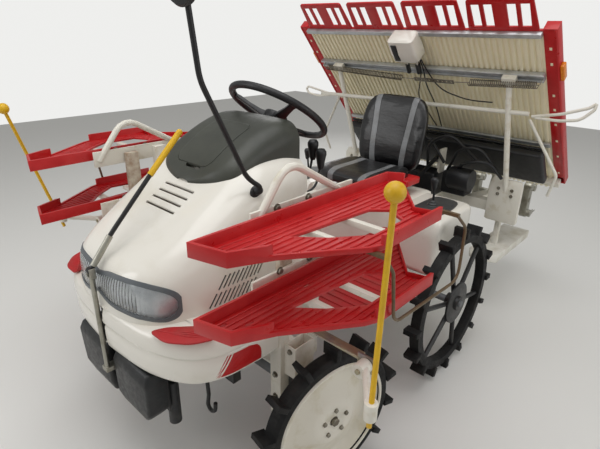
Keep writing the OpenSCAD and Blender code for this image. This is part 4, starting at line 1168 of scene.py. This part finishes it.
# %% Side covers and clips
COVER_X, RIDGE_X, COVER_END = 633, 652, 948
cover_parts = [stage_box("side_cover", (side * COVER_X - 24, -12, -11.5), (side * COVER_X + 24, COVER_END, -8), 1.5)
               for side in (-1, 1)]
cover_parts += [stage_box("side_ridge", (side * RIDGE_X - 4, -14, -15), (side * RIDGE_X + 4, COVER_END, 4), 2)
                for side in (-1, 1)]
covers = join("side_frame_covers", cover_parts)
finish(covers, "seedling_stage", "red_tray")
clips = []
for side in (-1, 1):
    for s in (70, 150, 330, 420, 520, 640, 760, 900):
        clips.append(stage_box("side_clip", (side * 630 - 5, s, -12.6), (side * 630 + 5, s + 14, -11), 0.6))
finish(join("side_clips", clips), "seedling_stage", "stage_plastic")
print("side covers:", len(covers.data.polygons), "faces")

# %% [markdown]
# Two long springs and a perforated strap lie under the stage. A Screw modifier could wind a coil, but a route of
# short steps round the axis is the same rod as the wires at its ends. White rods with forks brace the unit.

# %% Springs, strap and stay rods
SPRING_STEPS = 10


def coil(name, start, end, diameter, wire, pitch):
    start, end = Vector(start), Vector(end)
    axis = (end - start).normalized()
    side_way = axis.cross(Vector((0, 0, 1))).normalized()
    up_way = axis.cross(side_way)
    turns = (end - start).length / pitch
    places = []
    for k in range(int(turns * SPRING_STEPS) + 1):
        turn_to = 2 * math.pi * k / SPRING_STEPS
        places.append(start + (end - start) * (k / (turns * SPRING_STEPS))
                      + diameter / 2 * (math.cos(turn_to) * side_way + math.sin(turn_to) * up_way))
    return rod(name, places, wire, sides=1)


springs = join("stage_springs", [
    coil("spring_left", stage(-548, 212, -66), stage(-70, 246, -66), 26, 4.6, 9),
    coil("spring_right", stage(289, 240, -66), stage(590, 222, -66), 28, 4.8, 9),
    rod("spring_wire_left", [stage(-70, 246, -66), stage(4, 247, -66)], 4),
    rod("spring_wire_right", [stage(208, 246, -66), stage(289, 240, -66)], 4),
    rod("spring_end_left", [stage(-548, 212, -66), stage(-572, 210, -66), stage(-575, 205, -42)], 4, bend=6),
    rod("spring_end_right", [stage(590, 222, -66), stage(600, 220, -66), stage(602, 210, -42)], 4, bend=6)])
finish(springs, "planting_unit", "zinc", material=BOLT_STEEL)
strap = stage_box("spring_strap", (0, 236, -68), (212, 258, -64), 0.8)
holes = [slot_cutter(stage(14 + 23 * k, 247, -66), (10, 10, 60)) for k in range(9)]
cut(strap, join("strap_holes", holes))
finish(strap, "planting_unit", "zinc", material=BOLT_STEEL)
frame_rods = join("unit_stay_rods", [
    rod("cross_stay", [(-640, 500, 1058), (560, 500, 1079)], 20),
    rod("fork_left_top", [(574, 500, 1070), (690, 492, 1094), (792, 486, 1132), (812, 486, 1150)], 13, bend=30),
    rod("fork_left_low", [(590, 500, 1066), (690, 492, 1066), (768, 486, 1080), (812, 486, 1128), (812, 486, 1150)], 13,
        bend=24),
    rod("fork_right_top", [(-560, 500, 1058), (-640, 492, 1072), (-738, 486, 1090), (-752, 486, 1074)], 12, bend=24),
    rod("fork_right_low", [(-560, 500, 1056), (-660, 492, 1040), (-738, 486, 1052), (-752, 486, 1074)], 12, bend=24),
    rod("brace_left", [(549, 560, 1046), (700, 610, 800), (672, 640, 690)], 14, bend=18),
    rod("brace_right", [(-549, 560, 1046), (-700, 610, 800), (-672, 640, 690)], 14, bend=18)])
finish(frame_rods, "planting_unit", "white_steel")
print("springs:", len(springs.data.polygons), "faces")

# %% [markdown]
# Between the seat and the stage lie the dark works of the planting unit: a long black cover, drive boxes, hoses
# and cables. They stand in shadow, where outline and gloss tell more than small detail, so they are plain shapes
# with rolled edges, joined on the body that carries them.

# %% Dark works of the planting unit
works = [
    stage_box("long_cover", (-560, 650, -120), (600, 880, -74), 12, 4),
    stage_box("cover_lip", (-560, 640, -78), (600, 654, -66), 3),
    bevelled_box("drive_box", (-120, 560, 560), (120, 690, 700), 14, 4),
    bevelled_box("drive_box_left", (150, 590, 600), (290, 690, 720), 10, 3),
    bevelled_box("drive_box_right", (-320, 590, 600), (-170, 690, 720), 10, 3),
    revolved("drive_drum", [(0, -60), (56, -60), (60, -52), (60, 52), (56, 60), (0, 60)], (250, 610, 690), "X", 36),
    revolved("drive_drum", [(0, -50), (46, -50), (50, -44), (50, 44), (46, 50), (0, 50)], (-240, 610, 700), "X", 36),
]
for route in ([(-80, 640, 690), (-40, 560, 840), (60, 560, 900), (150, 600, 760)],
              [(40, 640, 690), (70, 540, 860), (180, 560, 930), (330, 600, 800)],
              [(150, 640, 700), (240, 560, 860), (350, 560, 880), (430, 610, 760)],
              [(-200, 640, 700), (-150, 560, 900), (-60, 540, 960), (-10, 560, 880)],
              [(200, 640, 720), (290, 540, 800), (400, 560, 820), (450, 630, 730)]):
    works.append(rod("hose", route, 17, bend=110))
dark_works = join("unit_dark_works", works)
smooth(dark_works, 40)
finish(dark_works, "planting_unit", "black_plastic")
CABLE_N = -45.5
cables = join("stage_cables", [
    rod("cable", [stage(60, 112, -56), stage(56, 200, CABLE_N), stage(40, 300, CABLE_N), stage(70, 430, -60),
                  stage(60, 600, -60)], 6, bend=90),
    rod("cable", [stage(66, 112, -56), stage(70, 200, CABLE_N), stage(110, 330, CABLE_N), stage(250, 380, -50),
                  stage(360, 400, -30)], 6, bend=70),
    rod("cable", [stage(50, 112, -56), stage(44, 200, CABLE_N), stage(10, 290, CABLE_N), stage(-20, 380, -60),
                  stage(30, 600, -60)], 6, bend=70)])
finish(cables, "seedling_stage", "black_plastic")
print("dark works:", len(dark_works.data.polygons), "faces")

# %% [markdown]
# The control box under the stage's top edge is a leaning moulded case with a blank dark plate on its face and
# two levers with black grips. The case is a solid through five rounded rings, because it narrows towards both
# ends, and a bevelled block would keep its sides parallel.

# %% Control box
# distance down the stage, both sides, and how far the face stands off under the sheet
CASE = [(-14, -48, 66, -88), (-8, -56, 76, -97), (60, -60, 82, -102), (106, -54, 80, -98), (118, -44, 70, -90)]
rings = []
for s, x_low, x_high, face in CASE:
    ring = rounded_polygon([(x_low, -22, 8), (x_high, -22, 8), (x_high, face, 22), (x_low, face, 22)])
    rings.append([on_stage(x, s, n) for x, n in ring])
case_piece = solid("control_case", rings)
smooth(case_piece, 45)
finish(case_piece, "seedling_stage", "ivory_panel", "control_box")
case_fittings = [stage_box("case_plate", (-38, 6, -103), (-8, 98, -94), 3, 3)]
case_rods = []
for x in (-6, 48):
    case_rods.append(rod("case_lever", [stage(x, 118, -64), stage(x, 156, -70)], 8))
    case_fittings.append(rod("case_grip", [stage(x, 148, -68.5), stage(x, 164, -71), stage(x, 190, -74)], 21))
    case_fittings.append(ball("case_grip_end", stage(x, 189, -74), 22))
fittings = join("case_fittings", case_fittings)
smooth(fittings, 50)
finish(fittings, "seedling_stage", "black_plastic")
finish(join("case_levers", case_rods), "seedling_stage", "ivory_panel")
print("control box:", len(case_piece.data.polygons), "faces")

# %% [markdown]
# The front wheel is a pressed disc: a raised lip holds the tyre, the disc is dished inside it, and a swelling
# carries the hub. Its profile is drawn from the bore outwards and turned round the axle.

# %% Front wheels
AXLE_X, AXLE_Y, AXLE_Z, KING_PIN_X, REST_STEER = 550, -800, 275, 458, 10
BOLT_CIRCLE = 46
# radius and place along the axle
DISC = [(16, -17), (55, -17), (106, -14), (150, -24), (179, -27), (206, -28), (208, -26), (208, 26), (206, 29),
        (202, 32), (197, 31), (192, 14), (187, -10), (180, -17), (166, -18), (146, -13), (122, -2), (102, 10), (86, 21),
        (70, 27), (50, 29), (34, 27), (30, 24), (16, 24), (16, -17)]
DISC_BOLT = [(0, 0), (8, 0), (8, 6), (6, 8), (0, 8)]
DISC_NUT = [(0, -2), (15, -2), (15, 9), (12, 12), (0, 13)]


def steered_place(piece, side):
    """Turns a wheel piece about its king pin to the rest angle."""
    pin = Vector(at(side * KING_PIN_X, AXLE_Y, 0))
    turn_by = Matrix.Rotation(math.radians(-REST_STEER), 4, "Z")
    for vertex in piece.data.vertices:
        vertex.co = turn_by @ (vertex.co - pin) + pin
    return piece


for side, side_name in ((1, "left"), (-1, "right")):
    wheel_body = "front_wheel_" + side_name
    profile = [(radius, side * along) for radius, along in DISC]
    disc = revolved("front_disc", profile, (side * AXLE_X, AXLE_Y, AXLE_Z), "X", 96)
    flip_out(disc, at(side * (AXLE_X - 12), AXLE_Y, AXLE_Z + 130))
    steered_place(disc, side)
    smooth(disc, 40)
    disc.name = disc.data.name = "front_disc_" + side_name
    finish(disc, wheel_body, "wheel_ivory", wheel_body)
    bolts = []
    for k in range(5):
        around = 2 * math.pi * k / 5 + 0.3
        y, z = AXLE_Y + BOLT_CIRCLE * math.cos(around), AXLE_Z + BOLT_CIRCLE * math.sin(around)
        bolts.append(revolved("disc_bolt", DISC_BOLT, (side * (AXLE_X + 28), y, z), "X", 6))
    bolts.append(revolved("disc_nut", DISC_NUT, (side * (AXLE_X + 24), AXLE_Y, AXLE_Z), "X", 6))
    bolts = steered_place(join("front_disc_bolts_" + side_name, bolts), side)
    finish(bolts, wheel_body, "zinc", material=BOLT_STEEL)
print("front disc:", len(disc.data.polygons), "faces")

# %% [markdown]
# Only the marker's pole and ball are yellow. Its arm and sleeve are white, so those faces of the softened copy
# get a second material, picked by their distance from the pole. The bracket over the wheel is zinc plated.

# %% Marker finishes
# all in metres in the frame
BALL_REACH, POLE_REACH = 0.026, 0.0085
SLEEVE_LOW, SLEEVE_TOP = 0.604, 0.66
BRACKET_LOW, BRACKET_SIDE = 0.588, 0.4


def far_from_line(place, start, end):
    along = (end - start).normalized()
    return ((place - start) - along * (place - start).dot(along)).length


for side, side_name, top in ((1, "left", at(825, -1011, 1139)), (-1, "right", at(-825, -1163, 1115))):
    marker = bpy.data.objects["marker_" + side_name + "_skin"]
    marker.data.materials.append(FINISHES["white_steel"])
    foot = at(side * 825, -1027, 587)
    for face in marker.data.polygons:
        near_ball = (face.center - top).length < BALL_REACH
        in_sleeve = SLEEVE_LOW < face.center.z < SLEEVE_TOP
        if not near_ball and (in_sleeve or far_from_line(face.center, foot, top) > POLE_REACH):
            face.material_index = 1
posts = bpy.data.objects["marker_posts_skin"]
posts.data.materials.append(CHROMATE)
for face in posts.data.polygons:
    if face.center.z > BRACKET_LOW and abs(face.center.x) > BRACKET_SIDE:
        face.material_index = 1
print("marker finishes set")

# %% [markdown]
# Red mats lie on the steps of the skirt. Each is a thin sheet with a rounded edge and raised curved ribs. Ribs in a
# bump map would vanish from the side, so they are real bars. The copy of the CAD mats is cut away there first.

# %% Step mats
cut(bpy.data.objects["floor_mats_skin"], bevelled_box("step_cut", (-500, -1300, 600), (500, -1060, 700), 1, 1))
MAT_TOP = 652
STEP_MAT = [(236, -1222, 16), (306, -1220, 20), (364, -1176, 24), (390, -1118, 14), (312, -1112, 20), (252, -1180, 18)]
mat_outline = rounded_polygon(STEP_MAT)
step_mats = []
for side in (-1, 1):
    outline = [(side * x, y) for x, y in mat_outline]
    step_mats.append(plate_with_corners("step_mat", outline, MAT_TOP - 5, MAT_TOP, 1.5))
    for k in range(4):
        inner, outer = Vector((248 + 17 * k, -1206 + 9 * k)), Vector((330 + 12 * k, -1128 + 1 * k))
        middle = (inner + outer) / 2 + Vector((9, -9))
        rib = rod("mat_rib", [(side * inner.x, inner.y, MAT_TOP), (side * middle.x, middle.y, MAT_TOP),
                              (side * outer.x, outer.y, MAT_TOP)], 5, bend=40)
        step_mats.append(rib)
step_mats = join("step_mats", step_mats)
smooth(step_mats, 50)
finish(step_mats, "machine", "red_mat")
print("step mats:", len(step_mats.data.polygons), "faces")

# %% [markdown]
# A red field with two slanted red lines in front of it decorates each side of the skirt. A mask in the paint could
# show them, but thin plates that follow the curved wall a little proud of it have a crisp edge and catch the
# light like the real film. They carry no words.

# %% Side stripes
FIELD_LOW, FIELD_TOP, FIELD_SLANT = 508, 574, 40
PROUD_MM, FILM_MM = 0.7, 1.2


def skirt_wall_at(y, z):
    """Half width of the skirt's wall at this place."""
    steps = [between(SKIRT_PLAN[:4], k / 20) for k in range(61)]
    x = min(steps, key=lambda place: abs(place[1] - y))[0]
    for (inset_a, z_a), (inset_b, z_b) in zip(WALL, WALL[1:]):
        if z_a <= z <= z_b:
            return x - inset_a - (inset_b - inset_a) * (z - z_a) / (z_b - z_a)
    return x


def stripe(side, front, rear, rounded):
    """A slanted band between two places along the side; its rear end is rounded by so many millimetres."""
    rows = []
    for k in range(9):
        z = FIELD_LOW + (FIELD_TOP - FIELD_LOW) * k / 8
        slant = FIELD_SLANT * k / 8
        back = rear - rounded * (1 - math.sqrt(max(0, 1 - (k / 8) ** 4)))
        start, end = front + slant, back + slant * (0 if rounded else 1)
        along = [start + (end - start) * i / 12 for i in range(13)]
        rows.append([at(side * (skirt_wall_at(y, z) + PROUD_MM), y, z) for y in along])
    piece = bent_grid("side_stripe", rows)
    flip_out(piece, at(0, -1030, 540))
    thicken(piece, FILM_MM)
    return piece


stripes = []
for side in (-1, 1):
    stripes += [stripe(side, -1122, -1119, 0), stripe(side, -1114, -1109, 0), stripe(side, -1103, -966, 42)]
side_stripes = join("side_stripes", stripes)
finish(side_stripes, "machine", "red_tray")
print("side stripes:", len(side_stripes.data.polygons), "faces")

# %% [markdown]
# Hexagon bolts hold the racks, the marker posts and the plates. Each is a short six-sided prism on a washer, with
# few faces because there are many. The rusted upright of each rack stands behind its bolts.

# %% Bolts


def bolt(place, axis, side, across=16):
    """A washer and a hexagon head that look along +axis or, with side -1, along -axis."""
    rim, corner, flat = across * 0.72, across * 0.56, across * 0.44
    washer = [(0, 0), (rim, 0), (rim, side * 1.6), (0, side * 1.6)]
    head = [(0, side * 1.5), (corner, side * 1.5), (corner, side * 7), (flat, side * 8.4), (0, side * 8.6)]
    return [revolved("washer", washer, place, axis, 20), revolved("head", head, place, axis, 6)]


# the plates' own front face, read from the frame in millimetres on the drawing
cover_front = (min(vertex.co.y for vertex in frame["nodes"]["unit_covers"].data.vertices) - AXLE_SHIFT) * 1000
rack_bolts, post_bolts, plate_bolts = [], [], []
for side in (-1, 1):
    for y, z in ((-928, 982), (-807, 982), (-919, 794), (-797, 792)):
        rack_bolts += bolt((side * 431, y, z), "X", side)
    for z in (306, 393):
        post_bolts += bolt((side * 385, -894, z), "Y", -1, 15)
    post_bolts += bolt((side * 432, -876, 495), "Y", -1, 13)
    for x, z in ((437, 672), (437, 642), (505, 672), (505, 642)):
        plate_bolts += bolt((side * x, cover_front, z), "Y", -1, 12)
rack_posts = join("rack_posts", [bevelled_box("rack_post", (x_low, -905, 626), (x_low + 21, -856, 972), 2)
                                 for x_low in (-420, 399)])
finish(rack_posts, "machine", "white_steel", material=WORN_WHITE)
finish(join("rack_bolts", rack_bolts), "machine", "zinc", material=BOLT_STEEL)
finish(join("post_bolts", post_bolts), "machine", "zinc", material=BOLT_STEEL)
finish(join("plate_bolts", plate_bolts), "planting_unit", "zinc", material=BOLT_STEEL)
print("bolts set, plates' front at", round(cover_front, 1), "mm")

# %% [markdown]
# The rear inner corner of each tray is cut away on a slant, so that the console and its lever show from the front.
# A boolean cuts it, because the ribs and slots of the floor have to end there too. A low lip follows the cut, as
# it follows every other edge.

# %% Tray corners
TRAY_TOP, TRAY_DROP, TRAY_WALL, LIP = 961, 195, 5, 15
# the line of the cut in plan, on the driver's left
SLANT = [(515, -420), (548, -492), (676, -650), (700, -656), (752, -628)]
CUT_AWAY = SLANT + [(790, -600), (790, -380), (500, -380)]


def tray_lip(side, z):
    inner = [(side * x, y) for x, y in SLANT[1:-1]]
    inner[-1] = (side * 741, -634)
    outer = [(x - side * TRAY_WALL * 0.8, y - TRAY_WALL * 0.7) for x, y in inner]
    lip = upright_block("tray_lip", inner + outer[::-1], z - 6, z + LIP)
    flip_out(lip, at(*[(a + b) / 2 for a, b in zip(inner[0], outer[0])], z))
    apply_modifier(lip, "BEVEL", width=0.0012, segments=2)
    return lip


for node_name, top in (("upper_trays", TRAY_TOP), ("lower_trays", TRAY_TOP - TRAY_DROP)):
    skin = bpy.data.objects[node_name + "_skin"]
    for side in (-1, 1):
        cutter = upright_block("corner_cutter", [(side * x, y) for x, y in CUT_AWAY], top - 60, top + 60)
        flip_out(cutter, at(side * 700, -560, top))
        cut(skin, cutter)
    lips = join(node_name + "_lips", [tray_lip(side, top) for side in (-1, 1)])
    smooth(lips, 35)
    finish(lips, "machine", "red_tray")
print("tray corners cut")

# %% [markdown]
# A plain pale floor and soft lamps show the machine as in a studio. Large lamps give the shadow soft edges, and
# they stay dim enough that no pale panel clips to white. The floor keeps the shadow.

# %% Floor and lamps
floor_paint, tree, shader, coordinates = new_finish("studio_floor", Roughness=0.7)
shader.inputs["Base Color"].default_value = colour("#E6E5E1")
bpy.ops.mesh.primitive_plane_add(size=14, location=(0, 0, 0))
floor = bpy.context.object
floor.name = "studio_floor"
floor.data.materials.append(floor_paint)


def add_lamp(name, kind, strength):
    lamp_data = bpy.data.lights.new(name, kind)
    lamp_data.energy = strength
    lamp = bpy.data.objects.new(name, lamp_data)
    bpy.context.scene.collection.objects.link(lamp)
    return lamp


def soft_lamp(name, place, target, size, watts):
    """A round area lamp, in metres, that looks at a target."""
    lamp = add_lamp(name, "AREA", watts)
    lamp.data.shape, lamp.data.size = "DISK", size
    lamp.location = place
    lamp.rotation_euler = (Vector(target) - Vector(place)).to_track_quat("-Z", "Y").to_euler()


soft_lamp("overhead_lamp", (0.3, -0.8, 3.6), (0, 0, 0.6), 3.2, 52)
sky = add_lamp("sky_lamp", "SUN", 0.42)
sky.data.angle = math.radians(70)
sky.rotation_euler = (math.radians(18), math.radians(22), 0)
soft_lamp("front_lamp", (-1.6, -3.6, 2.2), (0, -0.4, 0.7), 2.2, 30)
soft_lamp("side_lamp", (3.6, 0.6, 1.8), (0, 0.1, 0.8), 2.4, 24)
soft_lamp("rear_lamp", (-2.6, 3.0, 2.4), (0, 0.4, 0.8), 2.4, 22)
print("lamps:", len(bpy.data.lights))

# %% [markdown]
# The world lights the machine gently, but the camera and mirror-like surfaces see it nearly white. Light Path
# tells a ray from the camera or a glossy surface apart from one that carries light.

# %% World
LIGHT_STRENGTH, SEEN_STRENGTH, GLOSS_SHARE = 0.27, 0.95, 0.35
world = bpy.data.worlds.new("pale_room")
world.use_nodes = True
bpy.context.scene.world = world
background = world.node_tree.nodes["Background"]
paths = add_node(world.node_tree, "ShaderNodeLightPath")
gloss = add_node(world.node_tree, "ShaderNodeMath", {0: paths.outputs["Is Glossy Ray"]}, {1: GLOSS_SHARE},
                 operation="MULTIPLY")
seen = add_node(world.node_tree, "ShaderNodeMath", {0: paths.outputs["Is Camera Ray"], 1: gloss.outputs[0]},
                operation="MAXIMUM")
strength = add_node(world.node_tree, "ShaderNodeMapRange", {"Value": seen.outputs[0]},
                    {"To Min": LIGHT_STRENGTH, "To Max": SEEN_STRENGTH})
world.node_tree.links.new(strength.outputs[0], background.inputs["Strength"])
background.inputs["Color"].default_value = colour("#F4F4F2")
bpy.context.scene.view_settings.view_transform = "Standard"
print("world:", world.name)
